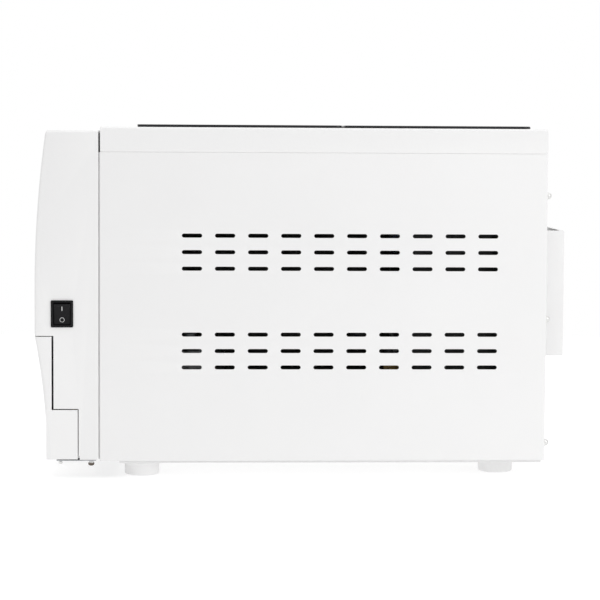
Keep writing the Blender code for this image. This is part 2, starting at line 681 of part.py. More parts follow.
def door_cover(hinge):
    """A hollow moulding with a round dish for the handle and two notches for the hinge brackets."""
    low, high = DOOR_BOTTOM + 2.0, DOOR_TOP - 2.0
    left, right = HINGE_X - HINGE_EDGE_RADIUS, DOOR_RIGHT - DOOR_GAP
    plan = [(x, y - 2 if y < HINGE_Y - 18 and x > HINGE_X - 1 else y) for x, y in door_plan(0)]
    cover = part("door_cover", Solid().prism(plan, "Z", low - 1, high + 1), "white_plastic", hinge)
    hollow = tool("door_cover_hollow", Solid().prism(door_plan(SKIN), "Z", low + SKIN, high - SKIN))
    core = front_profile(low, high, DOOR_REAR + 20, SKIN + DOOR_SINK)
    combine(hollow, "INTERSECT", Solid().prism(core, "X", left - 5, right + 5))
    cut(cover, hollow)
    centre = (CHAMBER_X, CHAMBER_Z)
    cup_back = DISH_FLOOR + 2.5
    join(cover, Solid().rod(centre, DISH_RADIUS + SKIN, "Y", FRONT - 0.5, cup_back, 40))
    sheath = front_profile(low - 3, high + 3, DOOR_REAR + 3, DOOR_SINK)
    combine(cover, "INTERSECT", Solid().prism(sheath, "X", left - 5, right + 5))
    combine(cover, "INTERSECT", Solid().prism(rounded(left, right, low, high, 10), "Y", AHEAD, BEHIND))
    cut(cover, Solid().rod(centre, DISH_RADIUS, "Y", AHEAD, DISH_FLOOR, 40))
    cut(cover, Solid().rod(centre, 9.0, "Y", DISH_FLOOR - 5, cup_back + 5, 20))
    notches = Solid()
    for bottom, top in BRACKET_HEIGHTS:
        sector = [(HINGE_X + 8, HINGE_Y), *arc((HINGE_X, HINGE_Y), 21.0, 60, 228, 10)]
        notches.prism(sector, "Z", bottom - 2, top + 2)
    cut(cover, notches)


def catch_shape(direction):
    """A block on the bulkhead with a blind pocket that takes one latch bolt."""
    near = CHAMBER_Z + direction * (FLANGE_RADIUS + 1.0)
    far = CHAMBER_Z + direction * (FLANGE_RADIUS + CATCH_HEIGHT)
    low, high = sorted((near, far))
    block = Solid().box((CHAMBER_X - 20, CHAMBER_X + 20), (-282, BULKHEAD_FRONT - GAP), (low, high))
    bolt_out = CHAMBER_Z + direction * (BOLT_REACH + BOLT_TRAVEL + 0.5)
    low, high = sorted((near - direction * 3, bolt_out))
    pocket = Solid().box((CHAMBER_X - 8, CHAMBER_X + 8), (BOLT_FRONT - 1.0, BOLT_REAR + 1.0), (low, high))
    return block, pocket


def latch(hinge):
    """Handle, cam and the two bolts that it drives up and down into the catches."""
    x, z = CHAMBER_X, CHAMBER_Z
    turn = pivot("handle_axis", (x - HINGE_X, DISH_FLOOR - HINGE_Y, 0))
    turn.parent = hinge
    bar = rounded(x - 59, x + 59, z - 11, z + 11, 10.9, 5)
    handle = part("door_handle", Solid().prism(bar, "Y", -300.5, -287), "grey_plastic", turn)
    join(handle, Solid().rod((x, z), 17, "Y", -299, -284, 24))
    join(handle, Solid().rod((x, z), 8.2, "Y", -286, -276.8, 20))
    ring = [(9.0, -280.5), (32, -280.5), (32, -276.6), (9.0, -276.6)]
    part("latch_cam", Solid().turned(ring, (x, z), "Y", 24), "steel", turn)
    for name, direction in (("upper", 1), ("lower", -1)):
        slide = pivot(f"{name}_bolt_slide", (x - HINGE_X, BOLT_FRONT - HINGE_Y, direction * BOLT_REACH))
        slide.parent = hinge
        low, high = sorted((z + direction * 17, z + direction * BOLT_REACH))
        bolt = Solid().box((x - 7, x + 7), (BOLT_FRONT, BOLT_REAR), (low, high))
        part(f"{name}_latch_bolt", bolt, "steel", slide)
        block, pocket = catch_shape(direction)
        cut(part(f"{name}_catch", block, "steel"), pocket)


def door_liner(hinge):
    """The sheet that closes the back of the door round the pressure plate."""
    low, high = DOOR_BOTTOM + 2.0 + SKIN + 0.4, DOOR_TOP - 2.0 - SKIN - 0.4
    left, right = HINGE_X + 11.5, DOOR_RIGHT - DOOR_GAP - SKIN - 0.5
    sheet = Solid().box((left, right), (DOOR_REAR - 1.8, DOOR_REAR - 0.1), (low, high))
    liner = part("door_liner", sheet, "white_plastic", hinge)
    through = (DOOR_REAR - 9, DOOR_REAR + 9)
    hole = circle((CHAMBER_X, CHAMBER_Z), DOOR_PLATE_RADIUS + 1.5, 40)
    cut(liner, Solid().prism(hole, "Y", *through))
    reach = FLANGE_RADIUS + CATCH_HEIGHT + 1
    span = (CHAMBER_Z - reach, CHAMBER_Z + reach)
    cut(liner, Solid().box((CHAMBER_X - 24, CHAMBER_X + 24), through, span))


def door_pressure_parts(hinge):
    """Pressure plate and seal ring, on the chamber's axis."""
    centre = (CHAMBER_X, CHAMBER_Z)
    front, rear, radius = DOOR_PLATE_FRONT, DOOR_PLATE_REAR, DOOR_PLATE_RADIUS
    profile = [(0, front), (radius - 4, front), (radius, front + 4), (radius, rear), (0, rear)]
    part("door_plate", Solid().turned(profile, centre, "Y", CHAMBER_SEGMENTS), "steel", hinge)
    ring = rectangle(122.5, 130.5, rear + GAP, CHAMBER_FRONT - GAP)
    part("door_gasket", Solid().turned(ring, centre, "Y", CHAMBER_SEGMENTS), "silicone", hinge)


def door_hinge(hinge):
    """Fixed bracket, pin, and the arm that carries the pressure plate."""
    axis = (HINGE_X, HINGE_Y)
    span = (BRACKET_HEIGHTS[0][0], BRACKET_HEIGHTS[1][1])
    back = BULKHEAD_FRONT - GAP
    bracket = part("door_hinge_bracket", Solid().box((-207.5, -197.5), (-236, back), span), "steel")
    arms = Solid()
    barrels = Solid()
    for low, high in BRACKET_HEIGHTS:
        arms.box((-203, -191), (HINGE_Y + 2, back - 0.01), (low + 0.01, high - 0.01))
        barrels.rod(axis, KNUCKLE_RADIUS, "Z", low, high, 20)
    join(bracket, arms)
    join(bracket, barrels)
    bore = (span[0] - 30, span[1] + 24)
    cut(bracket, Solid().rod(axis, KNUCKLE_BORE, "Z", *bore, 16))
    pin = Solid().rod(axis, HINGE_PIN_RADIUS, "Z", span[0] - 6, span[1] + 6, 16)
    part("door_hinge_pin", pin, "steel")

    pad_z, pad_y = (ARM_HEIGHTS[0][0], ARM_HEIGHTS[1][1]), (-262.3, DOOR_PLATE_FRONT - GAP)
    arm = part("door_hinge_arm", Solid().box((-160, -118), pad_y, pad_z), "steel", hinge)
    plan = [
        (-195, -290.5), (-170, -290.5), (-152, -262), (-152, -258),
        (-168, -258), (-178, -278.5), (-195, -278.5),
    ]
    knuckles = Solid()
    necks = Solid()
    for low, high in ARM_HEIGHTS:
        knuckles.rod(axis, KNUCKLE_RADIUS, "Z", low, high, 20)
        necks.prism(plan, "Z", low + 0.01, high - 0.01)
    join(arm, necks)
    join(arm, knuckles)
    cut(arm, Solid().rod(axis, KNUCKLE_BORE, "Z", *bore, 16))


def door():
    hinge = pivot("door_hinge", (HINGE_X, HINGE_Y, CHAMBER_Z))
    door_cover(hinge)
    door_liner(hinge)
    door_pressure_parts(hinge)
    door_hinge(hinge)
    latch(hinge)


# Chamber


def chamber():
    """Pressure vessel, heater band, insulation, and the rack with its trays."""
    centre = (CHAMBER_X, CHAMBER_Z)
    inner, wall = CHAMBER_RADIUS, CHAMBER_WALL
    front, back, lip = CHAMBER_FRONT, CHAMBER_BACK, CHAMBER_FRONT + 10
    outer = inner + wall
    profile = [
        (0, back + 28), (60, back + 25), (100, back + 17), (inner, back), (inner, front),
        (FLANGE_RADIUS, front), (FLANGE_RADIUS, lip), (outer, lip),
        (outer, back + 2), (102, back + 20), (61, back + 28), (0, back + 31),
    ]
    part("pressure_vessel", Solid().turned(profile, centre, "Y", CHAMBER_SEGMENTS), "steel")
    bands = {
        "band_heater": (outer + 0.5, HEATER_RADIUS, -70, 70, "zinc_steel"),
        "insulation_jacket": (HEATER_RADIUS + 0.6, JACKET_RADIUS, -226, 116, "glass_wool"),
    }
    for name, (low, high, front, rear, look) in bands.items():
        ring = rectangle(low, high, front, rear)
        part(name, Solid().turned(ring, centre, "Y", CHAMBER_SEGMENTS), look)
    tray_rack()
    for name, level in TRAY_LEVELS.items():
        tray(name, level)


def tray_rack():
    """A folded sheet with a pair of ledges for each tray."""
    half, sheet, ledge = RACK_HALF_WIDTH, 1.5, 8.0
    right = [(half, RACK_TOP), (half - sheet, RACK_TOP)]
    for level in sorted(TRAY_LEVELS.values(), reverse=True):
        z = level - CHAMBER_Z
        right += [(half - sheet, z), (half - ledge, z)]
        right += [(half - ledge, z - sheet), (half - sheet, z - sheet)]
    right.append((half - sheet, RACK_BOTTOM + sheet))
    left = [(-u, v) for u, v in reversed(right)]
    outline = [(half, RACK_BOTTOM)] + right + left + [(-half, RACK_BOTTOM)]
    shape = Solid().prism([(CHAMBER_X + u, CHAMBER_Z + v) for u, v in outline], "Y", -224, 112)
    part("tray_rack", shape, "steel")


def tray(name, level):
    """A shallow instrument tray that rests on its pair of ledges."""
    half, low = RACK_HALF_WIDTH - 2.4, level + GAP
    left, right, front, rear, sheet = CHAMBER_X - half, CHAMBER_X + half, -220.0, 106.0, 1.2
    shape = part(name, Solid().box((left, right), (front, rear), (low, low + 16)), "steel")
    inside = (left + sheet, right - sheet), (front + sheet, rear - sheet)
    cut(shape, Solid().box(*inside, (low + sheet, low + 20)))


# Water, steam and vacuum


def lid_outline(span, inset, radius):
    """A lid's outline from above, drawn in by the inset."""
    half = LID_HALF_WIDTH - inset
    return rounded(-half, half, span[0] + inset, span[1] - inset, radius)


def tanks():
    """Two tubs under the top cover, each with a lid hinged at its back edge."""
    wall, margin, rim_bottom = 2.5, TANK_MARGIN - 4.0, LID_BOTTOM - 10.8
    for kind, span in (("clean", CLEAN_LID_Y), ("waste", WASTE_LID_Y)):
        half, front, rear = LID_HALF_WIDTH - margin, span[0] + margin, span[1] - margin
        outside = Solid().box((-half, half), (front, rear), (TANK_BOTTOM, TANK_TOP))
        tub = part(f"{kind}_water_tank", outside, "tank_plastic")
        inside = (wall - half, half - wall), (front + wall, rear - wall)
        cut(tub, Solid().box(*inside, (TANK_BOTTOM + wall, TANK_TOP + 5)))

        hinge = pivot(f"{kind}_lid_hinge", (0, span[1] - LID_AXIS_INSET, LID_BOTTOM + LID_AXIS_RISE))
        plate = Solid().prism(lid_outline(span, 0, 8), "Z", LID_BOTTOM, LID_TOP)
        lid = part(f"{kind}_tank_lid", plate, "black_gloss", hinge)
        edge, rim = TANK_MARGIN + 1.5, 2.2
        join(lid, Solid().prism(lid_outline(span, edge, 8.5), "Z", rim_bottom, LID_BOTTOM + 1))
        cut(lid, Solid().prism(lid_outline(span, edge + rim, 6.5), "Z", rim_bottom - 5, LID_BOTTOM))


def condenser():
    """Finned core with a square shroud and the motor mount of its fan."""
    left, right, low, high = FAN_X - 60, FAN_X + 60, FAN_Z - 60, FAN_Z + 60
    core = part("condenser", Solid().box((left, right), (226, 279), (low, high)), "aluminium")
    cut(core, Solid().rod((FAN_X, FAN_Z), FAN_RADIUS, "Y", 254, 285, 32))
    fins = Solid()
    gaps, first, reach = 12, left + 12, 96
    for i in range(gaps):
        x = first + i * reach / (gaps - 1)
        fins.box((x - 2.6, x + 2.6), (220, 258), (low + 8, high - 8))
    cut(core, fins)
    mount = Solid()
    mount.box((left + 2, right - 2), (275.5, 278.5), (FAN_Z - 4, FAN_Z + 4))
    join(core, mount)
    join(core, Solid().box((FAN_X - 4, FAN_X + 4), (275.6, 278.4), (low + 2, high - 2)))
    join(core, Solid().rod((FAN_X, FAN_Z), 16, "Y", 274.0, 278.6, 20))


def fan():
    """A hub with seven twisted blades."""
    middle, count, twist = 266.5, 7, 32
    axis = pivot("fan_axis", (FAN_X, middle - 0.5, FAN_Z))
    rotor = part("fan_rotor", Solid().rod((FAN_X, FAN_Z), 17, "Y", 260, 273, 20), "black_plastic", axis)
    blades = Solid()
    for i in range(count):
        blade = Solid().box((-7.5, 7.5), (-0.9, 0.9), (14, 50))
        blades.add(blade.turn(twist, "Z").turn(i * 360 / count, "Y"))
    join(rotor, blades.move((FAN_X, middle, FAN_Z)))


def plumbing():
    """Steam generator, pumps, valves and safety valve, between the chamber and the right side."""
    floor = PAN_BOTTOM + SHEET + GAP
    boiler = [
        (0, floor), (30, floor), (30, floor + 6), (42, floor + 10), (42, 142),
        (34, 150), (10, 152), (10, 160), (0, 160),
    ]
    part("steam_generator", Solid().turned(boiler, (146, -128), "Z", 24), "zinc_steel")
    pump = part("vacuum_pump", Solid().box((112, 184), (-52, 84), (floor, floor + 5)), "aluminium")
    join(pump, Solid().rod((148, 64), 37, "Y", -48, 40, 24))
    join(pump, Solid().box((113, 183), (38, 82), (floor + 4, 112)))
    join(pump, Solid().box((130, 166), (-40, 36), (floor + 4, 44)))
    valves = part("valve_block", Solid().box((128, 186), (100, 124), (floor, 104)), "brass")
    stems = Solid()
    for x in (138, 157, 176):
        stems.rod((x, 112), 8, "Z", 100, 123, 12)
    join(valves, stems)
    feed = part("water_pump", Solid().box((104, 156), (148, 206), (floor, floor + 4)), "black_plastic")
    join(feed, Solid().rod((130, 50), 26, "Y", 152, 192, 20))
    join(feed, Solid().rod((130, 50), 18, "Y", 190, 212, 16))
    join(feed, Solid().box((118, 142), (154, 190), (floor + 3, 34)))
    base = CHAMBER_BACK + 31.6
    relief = [
        (0, base), (9, base), (9, base + 8), (12, base + 10),
        (12, base + 30), (7, base + 33), (7, base + 40), (0, base + 40),
    ]
    part("safety_valve", Solid().turned(relief, (CHAMBER_X, CHAMBER_Z), "Y", 12), "brass")


def electrics():
    """Control board beside the tanks, and the mains inlet in the rear panel."""
    board = part("control_board", Solid().box((198, 199.6), (-200, 0), (292, 366)), "circuit_board")
    parts_on_board = Solid()
    blocks = ((-180, 30, 22), (-140, 24, 16), (-100, 34, 26), (-50, 28, 18), (-20, 16, 12))
    for y, width, height in blocks:
        parts_on_board.box((198 - height, 198.5), (y - width / 2, y + width / 2), (305, 305 + width))
    join(board, parts_on_board)
    front, rear = REAR_PANEL_FRONT, REAR_PANEL_REAR + GAP
    x, z = INLET_X, INLET_Z
    flange = rounded(x - 16, x + 16, z - 28, z + 28, 4)
    inlet = part("mains_inlet", Solid().prism(flange, "Y", rear, rear + 2.6), "black_plastic")
    join(inlet, Solid().box((x - 13.5, x + 13.5), (front - 28, rear + 0.5), (z - 22.5, z + 22.5)))
    cut(inlet, Solid().box((x - 12, x + 12), (front - 15, rear + 8), (z - 19, z - 2)))


def build():
    clear_scene()
    base_pan()
    feet()
    side_panels()
    top_cover()
    rear_panel()
    rear_hood()
    front_bulkhead()
    vessel_cradle()
    fascia()
    display_window()
    keys()
    printer()
    service_door()
    service_hinge_plate()
    service_fittings()
    mains_switch()
    door()
    chamber()
    tanks()
    condenser()
    fan()
    plumbing()
    electrics()


build()
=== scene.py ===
"""The looks of a benchtop autoclave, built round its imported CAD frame.

The front faces -Y and +Z is up. Sizes are in millimetres, and every mesh is built in metres.
Sections: shapes, materials, front curve, housing, front, control column, door, chamber, service bay, top,
rear, inside, studio.
"""

from math import ceil, cos, pi, radians, sin

import bmesh
import bpy
from mathutils import Matrix, Vector


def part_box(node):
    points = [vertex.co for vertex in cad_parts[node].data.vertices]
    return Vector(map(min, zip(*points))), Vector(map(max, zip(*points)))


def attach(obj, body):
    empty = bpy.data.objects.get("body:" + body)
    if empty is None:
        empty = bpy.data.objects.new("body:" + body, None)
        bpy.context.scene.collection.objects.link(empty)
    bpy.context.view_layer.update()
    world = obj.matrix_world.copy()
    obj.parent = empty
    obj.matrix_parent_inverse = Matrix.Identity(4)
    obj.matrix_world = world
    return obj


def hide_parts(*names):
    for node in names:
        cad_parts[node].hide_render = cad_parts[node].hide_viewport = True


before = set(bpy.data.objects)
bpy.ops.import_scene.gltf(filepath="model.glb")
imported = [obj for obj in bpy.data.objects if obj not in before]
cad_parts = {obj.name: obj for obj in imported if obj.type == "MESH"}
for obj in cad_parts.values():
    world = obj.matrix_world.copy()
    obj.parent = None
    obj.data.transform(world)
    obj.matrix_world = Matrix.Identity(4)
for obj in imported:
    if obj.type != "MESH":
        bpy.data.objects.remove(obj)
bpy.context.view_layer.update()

MM = 0.001


def span(node):
    """A CAD node's lowest and highest corners at rest."""
    low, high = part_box(node)
    return low / MM, high / MM


def middle(node):
    """The centre of a CAD node's box at rest."""
    low, high = span(node)
    return (low + high) / 2


# Driving sizes, read from the frame

SHELL_LOW, SHELL_HIGH = span("right_side_panel")
ROOF_LOW, ROOF_HIGH = span("top_cover")
FRONT_LOW, FRONT_HIGH = span("fascia")
HALF_WIDTH = SHELL_HIGH.x
SHEET = 1.2
GAP = 0.3
SKIN = 3.0

# Front curve: flat in the middle, crowned above and receding below
FRONT = FRONT_LOW.y
FLAT_BOTTOM, FLAT_TOP = 163.0, 215.0
CROWN_RADIUS, CHIN_RADIUS = 1284.0, 800.0
CHIN_FRONT, CHIN_FOOT_Z = -289.4, 10.0
TOP_CORNER = 5.0
SIDE_ROUND, TOP_ROUND = 2.4, 3.6
AHEAD, BEHIND = FRONT - 10.0, FRONT_HIGH.y + 20.0

# Side vents
SLOT_LENGTH, SLOT_HEIGHT, SLOT_SHIFT = 23.2, 4.7, (0.3, -0.35)
SLOT_FIRST_Y, SLOT_PITCH_Y, SLOT_COLUMNS = -125.1, 37.8, 10
SLOT_TOP_ROWS, SLOT_PITCH_Z, SLOT_ROWS = (278.5, 165.1), 18.9, 3

# Door and chamber
HINGE_X, HINGE_Y, HINGE_EDGE_RADIUS = -195.5, -284.5, 19.0
CHAMBER = (middle("door_plate").x, middle("door_plate").z)
DISH_RADIUS, DISH_FLOOR = 66.0, -283.5
FINE = 96


# Shapes


def rectangle(low_u, high_u, low_v, high_v):
    return [(low_u, low_v), (high_u, low_v), (high_u, high_v), (low_u, high_v)]


def arc(centre, radius, start, end, steps):
    """Points on a circle from one angle to another, in degrees, with both ends."""
    angles = [radians(start + (end - start) * i / steps) for i in range(steps + 1)]
    return [(centre[0] + radius * cos(a), centre[1] + radius * sin(a)) for a in angles]


def circle(centre, radius, segments=48):
    """A regular polygon, which is round enough with many segments."""
    return arc(centre, radius, 0, 360 * (segments - 1) / segments, segments - 1)


def rounded(low_u, high_u, low_v, high_v, radius, steps=6):
    """A rectangle with round corners."""
    corners = (
        (high_u - radius, high_v - radius, 0),
        (low_u + radius, high_v - radius, 90),
        (low_u + radius, low_v + radius, 180),
        (high_u - radius, low_v + radius, 270),
    )
    points = []
    for u, v, start in corners:
        points += arc((u, v), radius, start, start + 90, steps)
    return points


def centred(u, v, half_u, half_v, radius, steps=6):
    """A rounded rectangle about a point, given its half sizes."""
    return rounded(u - half_u, u + half_u, v - half_v, v + half_v, radius, steps)


AXES = {
    "X": lambda u, v, w: (w, u, v),
    "Y": lambda u, v, w: (u, w, v),
    "Z": lambda u, v, w: (u, v, w),
}


class Solid:
    """Faces gathered in one mesh, in the machine's frame and in millimetres."""

    def __init__(self):
        self.bm = bmesh.new()

    def loft(self, outlines, axis):
        """Outlines of the same length at their places along an axis, joined and capped at both ends."""
        rings = [[self.bm.verts.new(AXES[axis](u, v, w)) for u, v in points] for points, w in outlines]
        made = [self.bm.faces.new(rings[0]), self.bm.faces.new(rings[-1])]
        for first, second in zip(rings, rings[1:]):
            for i, vertex in enumerate(first):
                j = (i + 1) % len(first)
                made.append(self.bm.faces.new((vertex, first[j], second[j], second[i])))
        bmesh.ops.recalc_face_normals(self.bm, faces=made)
        return self

    def prism(self, outline, axis, low, high):
        return self.loft([(outline, low), (outline, high)], axis)

    def box(self, x, y, z):
        return self.prism(rectangle(*x, *y), "Z", *z)

    def turned(self, profile, centre, axis, segments=FINE):
        """A profile of (radius, place along the axis), turned round it. Radius 0 closes it on the axis."""
        rings = []
        for radius, along in profile:
            count = segments if radius else 1
            ring = [(centre[0] + radius * cos(a), centre[1] + radius * sin(a))
                    for a in (2 * pi * i / segments for i in range(count))]
            rings.append([self.bm.verts.new(AXES[axis](u, v, along)) for u, v in ring])
        made = []
        for first, second in zip(rings, rings[1:] + rings[:1]):
            if len(first) == len(second) == 1:
                continue
            for i in range(segments):
                j = (i + 1) % segments
                ends = [first[i % len(first)], first[j % len(first)]]
                ends += [second[j % len(second)], second[i % len(second)]]
                made.append(self.bm.faces.new(list(dict.fromkeys(ends))))
        bmesh.ops.recalc_face_normals(self.bm, faces=made)
        return self

    def rod(self, centre, radius, axis, low, high, segments=48):
        profile = [(0, low), (radius, low), (radius, high), (0, high)]
        return self.turned(profile, centre, axis, segments)

    def turn(self, angle, axis, centre=(0, 0, 0)):
        """Turns all of it so far round an axis through a point, by degrees."""
        there = Matrix.Translation(Vector(centre))
        self.bm.transform(there @ Matrix.Rotation(radians(angle), 4, axis) @ there.inverted())
        return self

    def move(self, offset):
        self.bm.transform(Matrix.Translation(offset))
        return self

    def mirror_x(self):
        self.bm.transform(Matrix.Scale(-1, 4, (1, 0, 0)))
        bmesh.ops.reverse_faces(self.bm, faces=self.bm.faces[:])
        return self

    def add(self, other):
        """Takes over the faces of another solid."""
        mesh = bpy.data.meshes.new("taken_over")
        other.bm.to_mesh(mesh)
        other.bm.free()
        self.bm.from_mesh(mesh)
        bpy.data.meshes.remove(mesh)
        return self

    def mesh(self, name):
        self.bm.transform(Matrix.Scale(MM, 4))
        mesh = bpy.data.meshes.new(name)
        self.bm.to_mesh(mesh)
        self.bm.free()
        return mesh


# A solid of one shape, and lists of Boolean edits for a piece


def loft(outlines, axis):
    return Solid().loft(outlines, axis)


def prism(outline, axis, low, high):
    return Solid().prism(outline, axis, low, high)


def box(x, y, z):
    return Solid().box(x, y, z)


def turned(profile, centre, axis, segments=FINE):
    return Solid().turned(profile, centre, axis, segments)


def rod(centre, radius, axis, low, high, segments=48):
    return Solid().rod(centre, radius, axis, low, high, segments)


def minus(*solids):
    """Boolean edits that take these solids away, for a piece's edits."""
    return [("DIFFERENCE", solid) for solid in solids]


def plus(*solids):
    """Boolean edits that join these solids on."""
    return [("UNION", solid) for solid in solids]


def within(*solids):
    """Boolean edits that keep only what lies inside these solids."""
    return [("INTERSECT", solid) for solid in solids]


def linked(name, mesh):
    """A new object in the scene for this mesh or curve."""
    made = bpy.data.objects.new(name, mesh)
    bpy.context.scene.collection.objects.link(made)
    return made


def carve(target, edits):
    """Applies Boolean edits of (operation, solid) in order."""
    tools = []
    for number, (operation, solid) in enumerate(edits):
        tool = linked(f"{target.name}_tool_{number}", solid.mesh("tool"))
        modifier = target.modifiers.new(f"edit_{number}", "BOOLEAN")
        modifier.operation = operation
        modifier.solver = "EXACT"
        modifier.object = tool
        tools.append(tool)
    graph = bpy.context.evaluated_depsgraph_get()
    result = bpy.data.meshes.new_from_object(target.evaluated_get(graph))
    target.modifiers.clear()
    target.data = result
    for tool in tools:
        bpy.data.objects.remove(tool, do_unlink=True)


SHARP_ANGLE = 32


def piece(name, solid, look, body="housing", stands_for=(), edits=(), bevel=0.3, steps=2):
    """A finished piece: shape, rounded edges, material, the body it rides on and the nodes it replaces."""
    made = linked(name, solid.mesh(name))
    if edits:
        carve(made, edits)
    made.data.materials.clear()
    made.data.materials.append(material(look))
    made.data.shade_smooth()
    made.data.set_sharp_from_angle(angle=radians(SHARP_ANGLE))
    if bevel:
        rounding = made.modifiers.new("rounding", "BEVEL")
        rounding.width = bevel * MM
        rounding.segments = steps
        rounding.limit_method = "ANGLE"
        rounding.angle_limit = radians(SHARP_ANGLE)
        rounding.use_clamp_overlap = True
        rounding.harden_normals = True
        rounding.miter_outer = "MITER_ARC"
    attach(made, body)
    if stands_for:
        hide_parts(*stands_for)
    return made


def tube(name, points, radius, look, body="housing"):
    """A round hose along a smooth path."""
    curve = bpy.data.curves.new(name, "CURVE")
    curve.dimensions = "3D"
    curve.bevel_depth = radius * MM
    curve.bevel_resolution = 4
    curve.use_fill_caps = True
    line = curve.splines.new("NURBS")
    line.points.add(len(points) - 1)
    for point, place in zip(line.points, points):
        point.co = (*(Vector(place) * MM), 1.0)
    line.order_u = 4
    line.use_endpoint_u = True
    line.resolution_u = 8
    temporary = linked(f"{name}_path", curve)
    graph = bpy.context.evaluated_depsgraph_get()
    mesh = bpy.data.meshes.new_from_object(temporary.evaluated_get(graph))
    bpy.data.objects.remove(temporary, do_unlink=True)
    made = linked(name, mesh)
    mesh.materials.clear()
    mesh.materials.append(material(look))
    mesh.shade_smooth()
    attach(made, body)
    return made
